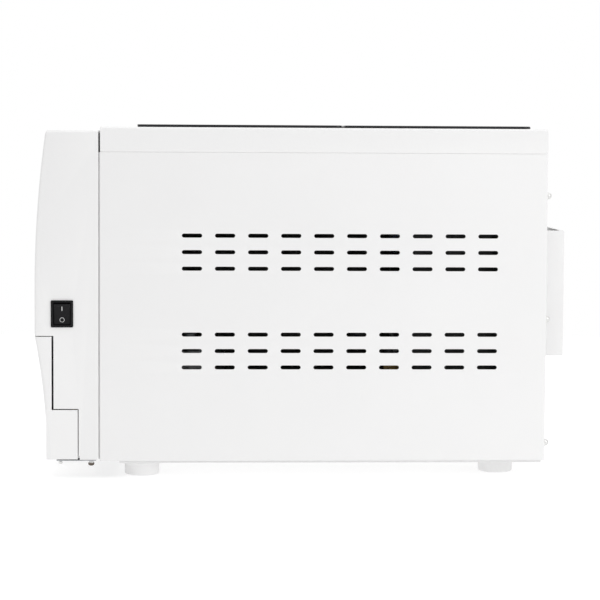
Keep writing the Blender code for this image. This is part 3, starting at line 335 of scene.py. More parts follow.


# Materials: a base and a second colour mixed by a slow noise, a fine grain for bump and roughness,
# and lighter convex edges, partly wear and partly a painted highlight.
# "stretch" draws the grain out along one axis, as brushing does.

LOOKS = {
    "white_paint": dict(slot="white_paint", colour=(0.852, 0.850, 0.850), second=(0.834, 0.832, 0.832),
                        edge=(0.874, 0.872, 0.870), roughness=0.42, grain=900, bump=0.05, coat=0.12),
    "white_plastic": dict(slot="white_plastic", colour=(0.850, 0.848, 0.848), second=(0.834, 0.832, 0.832),
                          edge=(0.870, 0.868, 0.866), roughness=0.40, grain=1600, bump=0.03),
    "black_gloss": dict(slot="black_gloss", colour=(0.011, 0.011, 0.013), second=(0.017, 0.017, 0.019),
                        edge=(0.05, 0.05, 0.055), roughness=0.14, grain=300, bump=0.006, spread=0.10,
                        specular=0.34),
    "switch_black": dict(slot="black_gloss", colour=(0.006, 0.006, 0.007), second=(0.010, 0.010, 0.011),
                         edge=(0.03, 0.03, 0.033), roughness=0.22, grain=500, bump=0.01, specular=0.16),
    "black_plastic": dict(slot="black_plastic", colour=(0.022, 0.022, 0.024), second=(0.032, 0.032, 0.034),
                          edge=(0.07, 0.07, 0.07), roughness=0.42, grain=1500, bump=0.04),
    "grey_plastic": dict(slot="grey_plastic", colour=(0.20, 0.215, 0.235), second=(0.175, 0.19, 0.205),
                         edge=(0.32, 0.33, 0.35), roughness=0.40, grain=1500, bump=0.035),
    "mark_white": dict(slot="black_gloss", colour=(0.72, 0.73, 0.72), second=(0.62, 0.63, 0.62),
                       edge=(0.75, 0.75, 0.75), roughness=0.5, grain=1500, bump=0.02),
    "pale_rubber": dict(slot="pale_rubber", colour=(0.875, 0.873, 0.872), second=(0.84, 0.838, 0.836),
                        edge=(0.90, 0.90, 0.895), roughness=0.62, grain=1100, bump=0.08),
    "steel": dict(slot="steel", colour=(0.60, 0.60, 0.595), second=(0.53, 0.53, 0.53), metallic=1.0,
                  edge=(0.75, 0.75, 0.74), roughness=0.28, grain=900, bump=0.02, stretch=(1, 40, 1)),
    "bright_steel": dict(slot="steel", colour=(0.68, 0.68, 0.675), second=(0.62, 0.62, 0.62), metallic=1.0,
                         edge=(0.8, 0.8, 0.8), roughness=0.2, grain=700, bump=0.012, stretch=(30, 1, 1)),
    "zinc_steel": dict(slot="zinc_steel", colour=(0.50, 0.51, 0.52), second=(0.41, 0.42, 0.435), metallic=1.0,
                       edge=(0.62, 0.63, 0.64), roughness=0.42, grain=160, bump=0.03, cells=True),
    "screw_steel": dict(slot="zinc_steel", colour=(0.80, 0.80, 0.785), second=(0.70, 0.70, 0.69),
                        edge=(0.88, 0.88, 0.87), metallic=1.0, roughness=0.32, grain=1200, bump=0.03),
    "dark_screw": dict(slot="zinc_steel", colour=(0.16, 0.13, 0.11), second=(0.10, 0.085, 0.07), metallic=1.0,
                       edge=(0.34, 0.30, 0.26), roughness=0.38, grain=1200, bump=0.03),
    "aluminium": dict(slot="aluminium", colour=(0.66, 0.67, 0.68), second=(0.58, 0.59, 0.60), metallic=1.0,
                      edge=(0.78, 0.79, 0.80), roughness=0.42, grain=1400, bump=0.05),
    "brass": dict(slot="brass", colour=(0.60, 0.43, 0.17), second=(0.47, 0.33, 0.13), metallic=1.0,
                  edge=(0.78, 0.62, 0.32), roughness=0.30, grain=900, bump=0.025),
    "silicone": dict(slot="silicone", colour=(0.66, 0.26, 0.13), second=(0.57, 0.21, 0.10),
                     edge=(0.76, 0.36, 0.22), roughness=0.5, grain=900, bump=0.05),
    "bronze": dict(slot="brass", colour=(0.30, 0.21, 0.09), second=(0.20, 0.14, 0.06), edge=(0.5, 0.37, 0.18),
                   metallic=1.0, roughness=0.42, grain=180, bump=0.05),
    # The glass wool's near-black colour is painted shade, standing in for the dark inside the side slots.
    "glass_wool": dict(slot="glass_wool", colour=(0.085, 0.083, 0.076), second=(0.05, 0.049, 0.045),
                       edge=(0.14, 0.137, 0.128), roughness=0.92, grain=420, bump=0.7, stretch=(1, 5, 1)),
    "tank_plastic": dict(slot="tank_plastic", colour=(0.70, 0.76, 0.80), second=(0.63, 0.69, 0.73),
                         edge=(0.80, 0.85, 0.88), roughness=0.34, grain=700, bump=0.04, subsurface=0.25),
    "window": dict(slot="window", colour=(0.010, 0.012, 0.016), second=(0.014, 0.017, 0.022),
                   edge=(0.04, 0.045, 0.05), roughness=0.06, grain=250, bump=0.003, spread=0.05, coat=0.8),
    "screen": dict(slot="window", colour=(0.085, 0.105, 0.095), second=(0.070, 0.088, 0.080),
                   edge=(0.10, 0.12, 0.11), roughness=0.16, grain=300, bump=0.002, coat=0.5),
    "segment": dict(slot="window", colour=(0.058, 0.073, 0.066), second=(0.052, 0.066, 0.060),
                    edge=(0.06, 0.075, 0.07), roughness=0.2, grain=300, bump=0.002),
    "circuit_board": dict(slot="circuit_board", colour=(0.02, 0.15, 0.07), second=(0.03, 0.19, 0.09),
                          edge=(0.2, 0.3, 0.2), roughness=0.35, grain=260, bump=0.05, cells=True),
    "paper": dict(slot="white_plastic", colour=(0.80, 0.79, 0.75), second=(0.75, 0.74, 0.70),
                  edge=(0.82, 0.81, 0.78), roughness=0.85, grain=1200, bump=0.1),
    "filter_fleece": dict(slot="white_plastic", colour=(0.62, 0.63, 0.62), second=(0.48, 0.49, 0.48),
                          edge=(0.7, 0.7, 0.7), roughness=0.95, grain=600, bump=0.5),
}


def material(look):
    """The node material of this name, made the first time it is asked for."""
    name = f"{look}_finish"
    finish = {key: value for key, value in LOOKS[look].items() if key != "slot"}
    return bpy.data.materials.get(name) or new_material(name, **finish)


def settle(node, **values):
    """Sets a shader node's inputs by name, with underscores for spaces."""
    for name, value in values.items():
        node.inputs[name.replace("_", " ")].default_value = value
    return node


def mix(nodes, links, share, first, second):
    """A mix of two colours, each given as three numbers or as another node's output."""
    made = nodes.new("ShaderNodeMix")
    made.data_type = "RGBA"
    for place, colour in ((6, first), (7, second)):
        if isinstance(colour, tuple):
            made.inputs[place].default_value = (*colour, 1.0)
        else:
            links.new(colour, made.inputs[place])
    links.new(share, made.inputs[0])
    return made.outputs[2]


def new_material(name, colour, second, edge, roughness, grain, bump, metallic=0.0, coat=0.0,
                 stretch=(1, 1, 1), cells=False, spread=0.12, subsurface=0.0, specular=0.5):
    made = bpy.data.materials.new(name)
    made.use_nodes = True
    nodes, links = made.node_tree.nodes, made.node_tree.links
    shader = settle(nodes["Principled BSDF"], Metallic=metallic, Specular_IOR_Level=specular,
                    Coat_Weight=coat, Coat_Roughness=0.12, Subsurface_Weight=subsurface,
                    Subsurface_Scale=0.004)

    place = nodes.new("ShaderNodeTexCoord").outputs["Object"]
    slow = settle(nodes.new("ShaderNodeTexNoise"), Scale=9.0, Detail=5.0, Roughness=0.6)
    links.new(place, slow.inputs["Vector"])

    drawn = settle(nodes.new("ShaderNodeMapping"), Scale=[1 / along for along in stretch])
    links.new(place, drawn.inputs["Vector"])
    fine = settle(nodes.new("ShaderNodeTexNoise"), Scale=grain, Detail=3.0)
    links.new(drawn.outputs["Vector"], fine.inputs["Vector"])
    pattern = fine.outputs["Fac"]
    if cells:
        spangle = settle(nodes.new("ShaderNodeTexVoronoi"), Scale=grain)
        links.new(place, spangle.inputs["Vector"])
        split = nodes.new("ShaderNodeSeparateColor")
        links.new(spangle.outputs["Color"], split.inputs["Color"])
        pattern = split.outputs["Red"]

    both = nodes.new("ShaderNodeMath")
    both.operation = "MULTIPLY_ADD"
    both.inputs[1].default_value = 0.35
    links.new(pattern, both.inputs[0])
    links.new(slow.outputs["Fac"], both.inputs[2])
    share = settle(nodes.new("ShaderNodeMapRange"), From_Min=0.45, From_Max=0.9)
    links.new(both.outputs[0], share.inputs["Value"])
    mixed = mix(nodes, links, share.outputs["Result"], colour, second)

    # Convex edges, found by pointiness, take the lighter edge colour: partly wear, partly a painted
    # highlight.
    corners = nodes.new("ShaderNodeNewGeometry")
    wear_and_highlight = settle(nodes.new("ShaderNodeMapRange"), From_Min=0.53, From_Max=0.64, To_Max=0.7)
    links.new(corners.outputs["Pointiness"], wear_and_highlight.inputs["Value"])
    worn_and_highlit = mix(nodes, links, wear_and_highlight.outputs["Result"], mixed, edge)
    links.new(worn_and_highlit, shader.inputs["Base Color"])

    sheen = settle(nodes.new("ShaderNodeMapRange"), To_Min=max(roughness - spread / 2, 0.02),
                   To_Max=roughness + spread / 2)
    links.new(both.outputs[0], sheen.inputs["Value"])
    links.new(sheen.outputs["Result"], shader.inputs["Roughness"])

    relief = settle(nodes.new("ShaderNodeBump"), Strength=0.5, Distance=bump * MM)
    links.new(pattern, relief.inputs["Height"])
    links.new(relief.outputs["Normal"], shader.inputs["Normal"])
    return made


def dress(look, *names):
    """Gives CAD nodes that stay in view their finished material."""
    for name in names:
        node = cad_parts[name]
        node.data.materials.clear()
        node.data.materials.append(material(look))


# Front curve


def front_y(z):
    """How far forward the front of the machine reaches at this height."""
    if z > FLAT_TOP:
        return FRONT + (z - FLAT_TOP) ** 2 / (2 * CROWN_RADIUS)
    if z < FLAT_BOTTOM:
        return CHIN_FRONT - (z - CHIN_FOOT_Z) ** 2 / (2 * CHIN_RADIUS)
    return FRONT


def front_line(low, high, inset=0.0, pitch=7.0):
    """Points down the front from one height to another, set back by the inset."""
    count = max(2, ceil((high - low) / pitch))
    heights = {high - (high - low) * i / count for i in range(count + 1)}
    heights |= {z for z in (FLAT_TOP, FLAT_BOTTOM + 0.01, FLAT_BOTTOM) if low + 1 < z < high - 1}
    return [(front_y(z) + inset, z) for z in sorted(heights, reverse=True)]


def front_profile(low, high, rear, inset=0.0, corner=0.0):
    """The side outline between two heights, from the front's curve back to a plane."""
    if not corner:
        return [(rear, high)] + front_line(low, high, inset) + [(rear, low)]
    centre = (front_y(high - corner) + inset + corner, high - corner)
    top = [(rear, high)] + arc(centre, corner, 90, 180, 6)
    return top + front_line(low, high - corner, inset)[1:] + [(rear, low)]


def rounded_sides(left, right, radius, steps=4):
    """Places along X, each with how far the outline is drawn in there, for a round edge at both ends."""
    ends = [(radius * (1 - cos(radians(90 * i / steps))), radius * (1 - sin(radians(90 * i / steps))))
            for i in range(steps + 1)]
    places = [(left + out, inset) for out, inset in ends]
    return places + [(right - out, inset) for out, inset in reversed(ends)]


def crowned(low, high, rear, left, right, radius, corner=0.0):
    """A block whose front follows the machine's curve, with its front edge rounded at both sides."""
    return loft([(front_profile(low, high, rear, inset, corner), x) for x,
                 inset in rounded_sides(left, right, radius)], "X")


# Housing


def stadium(y, z, length, height, steps=8):
    """A slot's outline with round ends."""
    radius = height / 2
    reach = length / 2 - radius
    return arc((y + reach, z), radius, -90, 90, steps) + arc((y - reach, z), radius, 90, 270, steps)


def bent(outline, steps=5):
    """An outline with each listed corner rounded. Items are (u, v) or (u, v, radius)."""
    points = []
    for i, corner in enumerate(outline):
        size = corner[2] if len(corner) > 2 else 0
        here = Vector(corner[:2])
        if not size:
            points.append(tuple(here))
            continue
        before = (Vector(outline[i - 1][:2]) - here).normalized()
        after = (Vector(outline[(i + 1) % len(outline)][:2]) - here).normalized()
        half = before.angle(after) / 2
        centre = here + (before + after).normalized() * (size / sin(half))
        start = here + before * (size / (sin(half) / cos(half)))
        end = here + after * (size / (sin(half) / cos(half)))
        first, last = start - centre, end - centre
        turn = first.angle_signed(last) if first.length and last.length else 0
        for k in range(steps + 1):
            a = -turn * k / steps
            points.append((centre.x + first.x * cos(a) - first.y * sin(a),
                           centre.y + first.x * sin(a) + first.y * cos(a)))
    return points


def slots(side):
    """Cutters for one side's slots."""
    bars = Solid()
    for top in SLOT_TOP_ROWS:
        for row in range(SLOT_ROWS):
            z = top - row * SLOT_PITCH_Z + SLOT_SHIFT[1]
            for column in range(SLOT_COLUMNS):
                y = SLOT_FIRST_Y + column * SLOT_PITCH_Y + SLOT_SHIFT[0]
                bars.prism(stadium(y, z, SLOT_LENGTH, SLOT_HEIGHT), "X", HALF_WIDTH - 6, HALF_WIDTH + 6)
    return bars if side > 0 else bars.mirror_x()


HEM_REACH = 4.0
JOINT_DEEP, JOINT_SHALLOW, JOINT_HEIGHTS = 4.6, 3.4, (21, 372.5)


def side_panels():
    """Folded sheets with sixty slots each. Rings between the rows keep every face simple.

    A hem closes the seam under the roof, and a strip closes the joint behind the fascia.
    """
    front, rear, lip = SHELL_LOW.y, SHELL_HIGH.y, SHELL_LOW.x
    inner = HALF_WIDTH - SHEET
    outline = bent([(HALF_WIDTH, front, 1.2), (HALF_WIDTH, rear, 1.4), (lip, rear), (lip, rear - SHEET),
                    (inner, rear - SHEET, 0.3), (inner, front + SHEET, 0.3), (lip, front + SHEET),
                    (lip, front)])
    levels = {SHELL_LOW.z, SHELL_HIGH.z}
    for top in SLOT_TOP_ROWS:
        levels |= {top + SLOT_PITCH_Z * (0.5 - row) for row in range(SLOT_ROWS + 1)}
    for side, name in ((1, "right"), (-1, "left")):
        sheet = loft([(outline, z) for z in sorted(levels)], "Z")
        if side < 0:
            sheet.mirror_x()
        piece(f"{name}_panel", sheet, "white_paint", stands_for=[f"{name}_side_panel"],
              edits=minus(slots(side)), bevel=0)
        seam = (SHELL_HIGH.z - HEM_REACH, SHELL_HIGH.z + HEM_REACH)
        hem = box((inner - 0.8, HALF_WIDTH - 0.65), (front + 1, rear - 2), seam)
        joint = (FRONT_HIGH.y + 0.05, front - 0.05)
        edge = box((HALF_WIDTH - JOINT_DEEP, HALF_WIDTH - JOINT_SHALLOW), joint, JOINT_HEIGHTS)
        if side < 0:
            hem.mirror_x()
            edge.mirror_x()
        piece(f"{name}_seam_hem", hem, "white_paint", bevel=0)
        piece(f"{name}_front_joint", edge, "white_plastic", bevel=0)


LID_SPANS = {"clean": (-188.1, 49.8), "waste": (52.5, 271.6)}
LID_HALF_WIDTH = 172.0


def lid_outline(y_span, inset, radius, steps=10):
    """A lid's outline from above, drawn in by the inset."""
    half = LID_HALF_WIDTH - inset
    return rounded(-half, half, y_span[0] + inset, y_span[1] - inset, radius, steps)


def roof():
    """The top cover: a folded tray with an opening under each lid."""
    bend, front, rear = 3.3, ROOF_LOW.y - 0.9, ROOF_HIGH.y
    top, low = ROOF_HIGH.z, ROOF_LOW.z
    half = HALF_WIDTH
    across = [(half, low)] + arc((half - bend, top - bend), bend, 0, 90, 8)
    across += arc((-half + bend, top - bend), bend, 90, 180, 8) + [(-half, low)]
    sheet = loft([(across, front), (across, rear)], "Y")
    inner, under = half - SHEET, top - SHEET
    hollow = [(inner, low - 5)] + arc((inner - 2.1, under - 2.1), 2.1, 0, 90, 6)
    hollow += arc((-inner + 2.1, under - 2.1), 2.1, 90, 180, 6) + [(-inner, low - 5)]
    holes = Solid()
    for y_span in LID_SPANS.values():
        holes.prism(lid_outline(y_span, 8.0, 10), "Z", top - 6, top + 6)
    edits = minus(loft([(hollow, front + SHEET), (hollow, rear - SHEET)], "Y"), holes)
    piece("roof", sheet, "white_paint", stands_for=["top_cover"], edits=edits, bevel=0.5, steps=3)


def lids():
    """Two glossy black lids, each with a line round its middle panel and a sealing rim underneath."""
    bottom, top = span("clean_tank_lid")[1].z - 2.9, span("clean_tank_lid")[1].z
    for kind, y_span in LID_SPANS.items():
        soft = 0.6 if kind == "clean" else 1.3
        plate = loft([
            (lid_outline(y_span, 0.5, 7.5), bottom), (lid_outline(y_span, 0, 8), bottom + 0.5),
            (lid_outline(y_span, 0, 8), top - soft), (lid_outline(y_span, soft * 0.3, 7.7), top - soft * 0.3),
            (lid_outline(y_span, soft, 7.0), top),
        ], "Z")
        rim = prism(lid_outline(y_span, 9.5, 8.5), "Z", bottom - 10.8, bottom + 1)
        inside = prism(lid_outline(y_span, 11.7, 6.5), "Z", bottom - 15, bottom)
        middle_panel = prism(lid_outline(y_span, 17.4, 4), "Z", top - 2, top)
        groove = prism(lid_outline(y_span, 16, 5.4), "Z", top - 0.45, top + 1)
        edits = plus(rim) + minus(inside, groove) + plus(middle_panel)
        piece(f"{kind}_lid_shell", plate, "black_gloss", f"{kind}_lid", [f"{kind}_tank_lid"], edits,
              bevel=0.15)
        seal = prism(lid_outline(y_span, 9.0, 9), "Z", bottom - 4.6, bottom - 2.2)
        ring = prism(lid_outline(y_span, 9.8, 8.3), "Z", bottom - 6, bottom + 1)
        piece(f"{kind}_lid_seal", seal, "silicone", f"{kind}_lid", edits=minus(ring), bevel=0.2)


def screw_head(centre, axis, outward, radius=3.5, height=2.6, deep=1.6):
    """A pan head with a cross recess, its seat at the centre and its top towards outward, 1 or -1."""
    u, v, w = centre
    profile = [(0, w - outward * 0.6), (radius, w - outward * 0.6), (radius, w + outward * 0.5)]
    for k in range(1, 7):
        a = radians(15 * k)
        out = radius * 0.25 + radius * 0.75 * cos(a)
        profile.append((out, w + outward * (0.5 + (height - 0.5) * sin(a))))
    profile.append((0, w + outward * height))
    head = turned(profile, (u, v), axis, 40)
    cross = Solid()
    top = w + outward * height
    low, high = sorted((top - outward * deep, top + outward))
    arm, thin = radius * 0.56, radius * 0.13
    cross.prism(rectangle(u - arm, u + arm, v - thin, v + thin), axis, low, high)
    other = prism(rectangle(u - thin, u + thin, v - arm, v + arm), axis, low, high)
    return head, minus(cross, other)


def screw(name, centre, axis, outward, look="screw_steel", body="housing", **sizes):
    """A screw's head as a piece of its own."""
    head, cuts = screw_head(centre, axis, outward, **sizes)
    return piece(name, head, look, body, edits=cuts, bevel=0)


def feet():
    """Round rubber feet with a flange, a rounded sole and a round recess underneath."""
    profile = [(0, 1.2), (9, 1.2), (10, 0.0), (17.6, 0.0), (18.6, 0.25), (19.5, 0.9), (20, 1.9)]
    profile += [(20, 12.2), (20.3, 12.8), (20.9, 13.0), (22.9, 13.1), (23.5, 13.7), (23.5, 16.0), (0, 16.0)]
    for name in ("front_right_foot", "front_left_foot", "rear_right_foot", "rear_left_foot"):
        spot = middle(name)
        foot = turned(profile, (0, 0), "Z")
        foot.move((spot.x, spot.y, 0))
        piece(f"{name}_pad", foot, "pale_rubber", stands_for=[name], bevel=0.2)


HOOD_X, HOOD_TOP, HOOD_CHEEK_TOP = (50.0, 196.0), (290.8, 284.0), 284.3
HOOD_FOLD_IN = 3.0


def hood():
    """The folded exhaust hood over the upper back, open in a wedge under its sloping top.

    A fold of sheet inside each end closes the wedge behind it.
    """
    low, high = span("rear_hood")
    front, rear, bottom = low.y, high.y, low.z
    (left, right), (top_front, top_rear), cheek_top = HOOD_X, HOOD_TOP, HOOD_CHEEK_TOP
    slope = (top_front - top_rear) / (rear - front)
    profile = bent([(front, bottom), (rear, bottom), (rear, top_rear, 2.2), (front, top_front)])
    shell = prism(profile, "X", left, right)
    inside = prism([(front - 5, bottom - 5), (rear - SHEET, bottom - 5),
                    (rear - SHEET, top_rear - SHEET + slope * SHEET),
                    (front - 5, top_front - SHEET + slope * 5)], "X", left + SHEET, right - SHEET)
    tip = front + (top_front - SHEET - cheek_top) / slope
    wedge = prism([(front - 5, cheek_top), (tip, cheek_top), (front - 5, top_front - SHEET + slope * 5)],
                  "X", left - 5, right + 5)
    flanges = box((right - 0.6, right + 10), (front, front + SHEET), (bottom, cheek_top))
    flanges.box((left - 10, left + 0.6), (front, front + SHEET), (bottom, cheek_top))
    back = box((left, right), (front, front + SHEET), (top_front - 1.0, top_front + 12))
    folds = Solid()
    for x in (left + SHEET + HOOD_FOLD_IN, right - 2 * SHEET - HOOD_FOLD_IN):
        folds.prism([(front + SHEET, cheek_top - 6), (rear - SHEET - 0.3, cheek_top - 6),
                     (rear - SHEET - 0.3, top_rear - 0.5), (front + SHEET, top_front - 0.5 - slope * SHEET)],
                    "X", x, x + SHEET)
    edits = minus(inside, wedge) + plus(flanges, back, folds)
    piece("hood_sheet", shell, "white_paint", stands_for=["rear_hood"], edits=edits, bevel=0.35)
    for i, (x, z) in enumerate(((left - 5, 152), (left - 5, 268), (right + 5, 152), (right + 5, 268))):
        screw(f"hood_screw_{i}", (x, z, front + SHEET), "Y", 1, radius=2.8, height=1.9)


# Front


DOOR_HOLE = (-216.0, 92.0, 31.0, 345.0)
COLUMN_LEFT, COLUMN_FLOOR = 104.0, 168.0
WINDOW_X, WINDOW_Z = (117.0, 209.0), (305.0, 363.0)
KEY_Z, KEY_RADIUS = 262.0, 8.0
KEY_PLACES = {"down_key": 136.0, "up_key": 163.0, "start_key": 190.0}
PRINTER_X, PRINTER_Z = (112.0, 188.0), (176.0, 238.0)
SERVICE_TOP, SERVICE_BOTTOM, SERVICE_REAR = 162.0, 21.0, -284.8
CHEEK_STEP, CHEEK_REAR = 77.9, -255.1
SERVICE_AXIS = (213.0, -275.1)
COMPARTMENT_BACK = -250.0
PARTITION_X, PARTITION_FRONT = (197.6, 199.6), -257.0
SWITCH_Y, SWITCH_Z = -272.75, 188.35


def fascia():
    """The white front moulding, a shell with its openings, and the wall beside the service bay."""
    half, rear = HALF_WIDTH, FRONT_HIGH.y
    bottom, top = FRONT_LOW.z, FRONT_HIGH.z
    shell = crowned(bottom, top, rear, -half, half, SIDE_ROUND, TOP_CORNER)
    cuts = []

    def take(*solids):
        cuts.extend(minus(*solids))

    over, chamfer = 5.0, [(half + 0.75, rear - 2.2), (half + 0.75, rear + 1.0), (half - 1.65, rear + 1.0)]
    shoulder = [(half + over, top - TOP_ROUND)] + arc((half - TOP_ROUND, top - TOP_ROUND), TOP_ROUND, 0, 90,
                                                      8)
    shoulder += [(half - TOP_ROUND, top + over), (half + over, top + over)]
    for outline, axis, start, end in ((shoulder, "Y", AHEAD, BEHIND), (chamfer, "Z", 0, SHELL_HIGH.z)):
        take(prism(outline, axis, start, end), prism(outline, axis, start, end).mirror_x())
    take(prism(rounded(*DOOR_HOLE, 11, 14), "Y", AHEAD, BEHIND))
    band = front_profile(DOOR_HOLE[3] + SKIN, top - SKIN, BEHIND, SKIN, 2.0)
    take(prism(band, "X", SKIN - half, DOOR_HOLE[1] + 1))
    column = front_profile(COLUMN_FLOOR, top - SKIN, BEHIND, SKIN, 2.0)
    take(prism(column, "X", DOOR_HOLE[1] + SKIN, half - SKIN))
    low, high = SERVICE_BOTTOM + 2.5, SERVICE_TOP + 1.0
    bay = (COLUMN_LEFT + 3, half - SKIN)
    take(box(bay, (AHEAD, COMPARTMENT_BACK), (low, high)))
    take(box(bay, (COMPARTMENT_BACK + SKIN, BEHIND), (low, high)))
    door_edge, cheek_edge, beyond = SERVICE_REAR + 2.2, CHEEK_REAR + 1.0, half + 10
    take(box((COLUMN_LEFT, beyond), (AHEAD, door_edge), (0, high)))
    take(box((COLUMN_LEFT + 3.2, beyond), (AHEAD, cheek_edge + 1.3), (0, low + 1.0)))
    take(box((half - SKIN - 1, beyond), (AHEAD, cheek_edge), (1, CHEEK_STEP + 1.3)))
    inside = FRONT + 14.0
    take(prism(rounded(*WINDOW_X, *WINDOW_Z, 4, 8), "Y", AHEAD, inside))
    take(prism(rounded(*PRINTER_X, *PRINTER_Z, 3, 8), "Y", AHEAD, inside))
    for x in KEY_PLACES.values():
        take(rod((x, KEY_Z), KEY_RADIUS + 0.6, "Y", AHEAD, inside, 64))
    take(box((half - 10, beyond), (SWITCH_Y - 11.6, SWITCH_Y + 11.6), (SWITCH_Z - 14.3, SWITCH_Z + 14.3)))
    take(rod(SERVICE_AXIS, 2.9, "Z", SERVICE_TOP - 1, SERVICE_TOP + 4.2, 32))
    piece("front_moulding", shell, "white_plastic", stands_for=["fascia"], edits=cuts, bevel=0.45, steps=3)
    meets, foot = COMPARTMENT_BACK - 0.1, SERVICE_BOTTOM + 1.6
    partition = box(PARTITION_X, (PARTITION_FRONT, meets), (foot, high - 1.0))
    partition.box(PARTITION_X, (PARTITION_FRONT + 1.1, meets), (SERVICE_BOTTOM - 1.2, foot + 0.1))
    piece("service_partition", partition, "white_plastic", bevel=0)


def service_door():
    """The L-shaped door in the lower front: a curved shell with a deep cheek, two lugs, a pin and ribs."""
    left, right = COLUMN_LEFT + 1.0, HALF_WIDTH
    outlines = [(front_profile(SERVICE_BOTTOM, SERVICE_TOP, SERVICE_REAR, inset), x) for x,
                inset in rounded_sides(left, right, SIDE_ROUND)]
    shell = loft(outlines, "X")
    inside = front_profile(SERVICE_BOTTOM + SKIN, SERVICE_TOP - SKIN, SERVICE_REAR + 10, SKIN)
    cheek = box((right - SKIN, right), (-291.0, CHEEK_REAR), (SERVICE_BOTTOM, CHEEK_STEP))
    x, y = SERVICE_AXIS
    relief = rod(SERVICE_AXIS, 12.5, "Z", CHEEK_STEP + 0.01, SERVICE_TOP + 5, 96)
    barrel = arc((x, y), 5.0, -90, 90, 16)[::-1]
    neck = [(x - 14, y - 16), (x - 14, y + 5), *barrel, (x - 8.6, y - 5), (x - 8.6, y - 16)]
    lugs = prism(neck, "Z", SERVICE_BOTTOM, SERVICE_BOTTOM + 5)
    lugs.prism(neck, "Z", SERVICE_TOP - 5, SERVICE_TOP - 0.5)
    pin = rod(SERVICE_AXIS, 2.4, "Z", SERVICE_TOP - 2, SERVICE_TOP + 3.6, 32)
    bore = rod(SERVICE_AXIS, 2.9, "Z", SERVICE_BOTTOM - 2, SERVICE_BOTTOM + 4.6, 32)
    ribs = Solid()
    for height in (52.0, 92.0, 132.0):
        ribs.box((left + 2, right - 22), (front_y(height) + 2.0, SERVICE_REAR), (height, height + 1.6))
    ribs.box((left + 7, 206), (SERVICE_REAR - 2, CHEEK_REAR - 1.1), (SERVICE_BOTTOM, SERVICE_BOTTOM + 1.4))
    edits = minus(prism(inside, "X", left + SKIN, right - SKIN)) + plus(cheek) + minus(relief)
    edits += plus(lugs, pin) + minus(bore) + plus(ribs)
    piece("service_door_shell", shell, "white_plastic", "service_door", ["service_door"], edits, bevel=0.45,
          steps=3)


PLATE_SCREW, PLATE_BOLT = (213, -275), (213, -240)


def hinge_plate():
    """The steel plate under the fascia that carries the service door's lower pin, and its two screws."""
    low, high = span("service_hinge_plate")
    x, y = SERVICE_AXIS
    top = FRONT_LOW.z - GAP
    outline = rounded(low.x, high.x, low.y, high.y, 2.5, 8)
    plate = prism(outline, "Z", top - 1.3, top)
    pin = rod((x, y), 2.4, "Z", top - 0.6, high.z, 32)
    piece("hinge_plate_sheet", plate, "zinc_steel", stands_for=["service_hinge_plate"], edits=plus(pin),
          bevel=0.25)
    spacers = rod(PLATE_SCREW, 1.3, "Z", top - 4.4, top - 0.5, 32)
    spacers.rod(PLATE_BOLT, 2.6, "Z", top - 5.4, top - 0.5, 32)
    piece("hinge_plate_spacers", spacers, "pale_rubber", bevel=0)
    screw("hinge_plate_screw_0", (*PLATE_SCREW, top - 3.9), "Z", -1, "screw_steel", radius=2.3, height=1.7,
          deep=0.9)
    screw("hinge_plate_screw_1", (*PLATE_BOLT, top - 4.9), "Z", -1, "dark_screw", radius=3.6, height=2.8)


SWITCH_FACE, SWITCH_TILT = 219.6, 12


def mains_switch():
    """A snap-in rocker: a rimmed bezel and a dished rocker with an on bar and an off ring."""
    y, z = SWITCH_Y, SWITCH_Z
    back, face = HALF_WIDTH + GAP, HALF_WIDTH + 1.8
    half_y, half_z = 12.75, 15.5
    rings = [(0.0, 1.5, back), (0.0, 1.5, face - 0.8), (0.25, 1.4, face - 0.25), (0.8, 1.2, face)]
    frame_outlines = [(rounded(y - half_y + i, y + half_y - i, z - half_z + i, z + half_z - i, r, 8), x)
                      for i, r, x in rings]
    shell = loft(frame_outlines, "X")
    body_box = box((200, back + 0.5), (y - 11.2, y + 11.2), (z - 13.9, z + 13.9))
    well = prism(centred(y, z, 9.8, 13.0, 0.8, 6), "X", 208, face + 5)
    piece("switch_frame", shell, "switch_black", stands_for=["switch_bezel"],
          edits=plus(body_box) + minus(well), bevel=0.25, steps=3)
    x = SWITCH_FACE
    crown = [(3.8 - 1.6 * cos(radians(90 * v / 12)), v) for v in (12, 9, 6, 3, 0, -3, -6, -9, -12)]
    outline = [(x + u, z + v) for u, v in crown] + [(x, z - 12.4), (x - 5, z - 8), (x - 5, z + 8),
                                                    (x, z + 12.4)]
    rocker = prism(outline, "Y", y - 9.3, y + 9.3).turn(SWITCH_TILT, "Y", (x, y, z))
    piece("switch_paddle", rocker, "switch_black", "rocker", ["switch_rocker"], bevel=0.45, steps=3)
    lower, upper = (x + 2.78, y, z - 6.6), (x + 2.9, y, z + 7.0)
    bar = prism(rounded(y - 0.4, y + 0.4, z + 4.2, z + 9.4, 0.25, 4), "X", upper[0] - 0.5, upper[0] + 0.22)
    bar.turn(9, "Y", upper).turn(SWITCH_TILT, "Y", (x, y, z))
    piece("switch_on_mark", bar, "mark_white", "rocker", bevel=0)
    ring = turned([(2.25, -0.5), (2.75, -0.5), (2.75, 0.22), (2.25, 0.22)], (y, z - 6.6), "X", 48)
    ring.move((lower[0], 0, 0)).turn(-8.8, "Y", lower).turn(SWITCH_TILT, "Y", (x, y, z))
    piece("switch_off_mark", ring, "mark_white", "rocker", bevel=0)


# Control column


def band(low, high, outer, inner, left, right):
    """A thin layer that follows the front's curve."""
    ahead = front_line(low, high, outer, 4.0)
    behind = front_line(low, high, inner, 4.0)
    return prism(ahead + behind[::-1], "X", left, right)


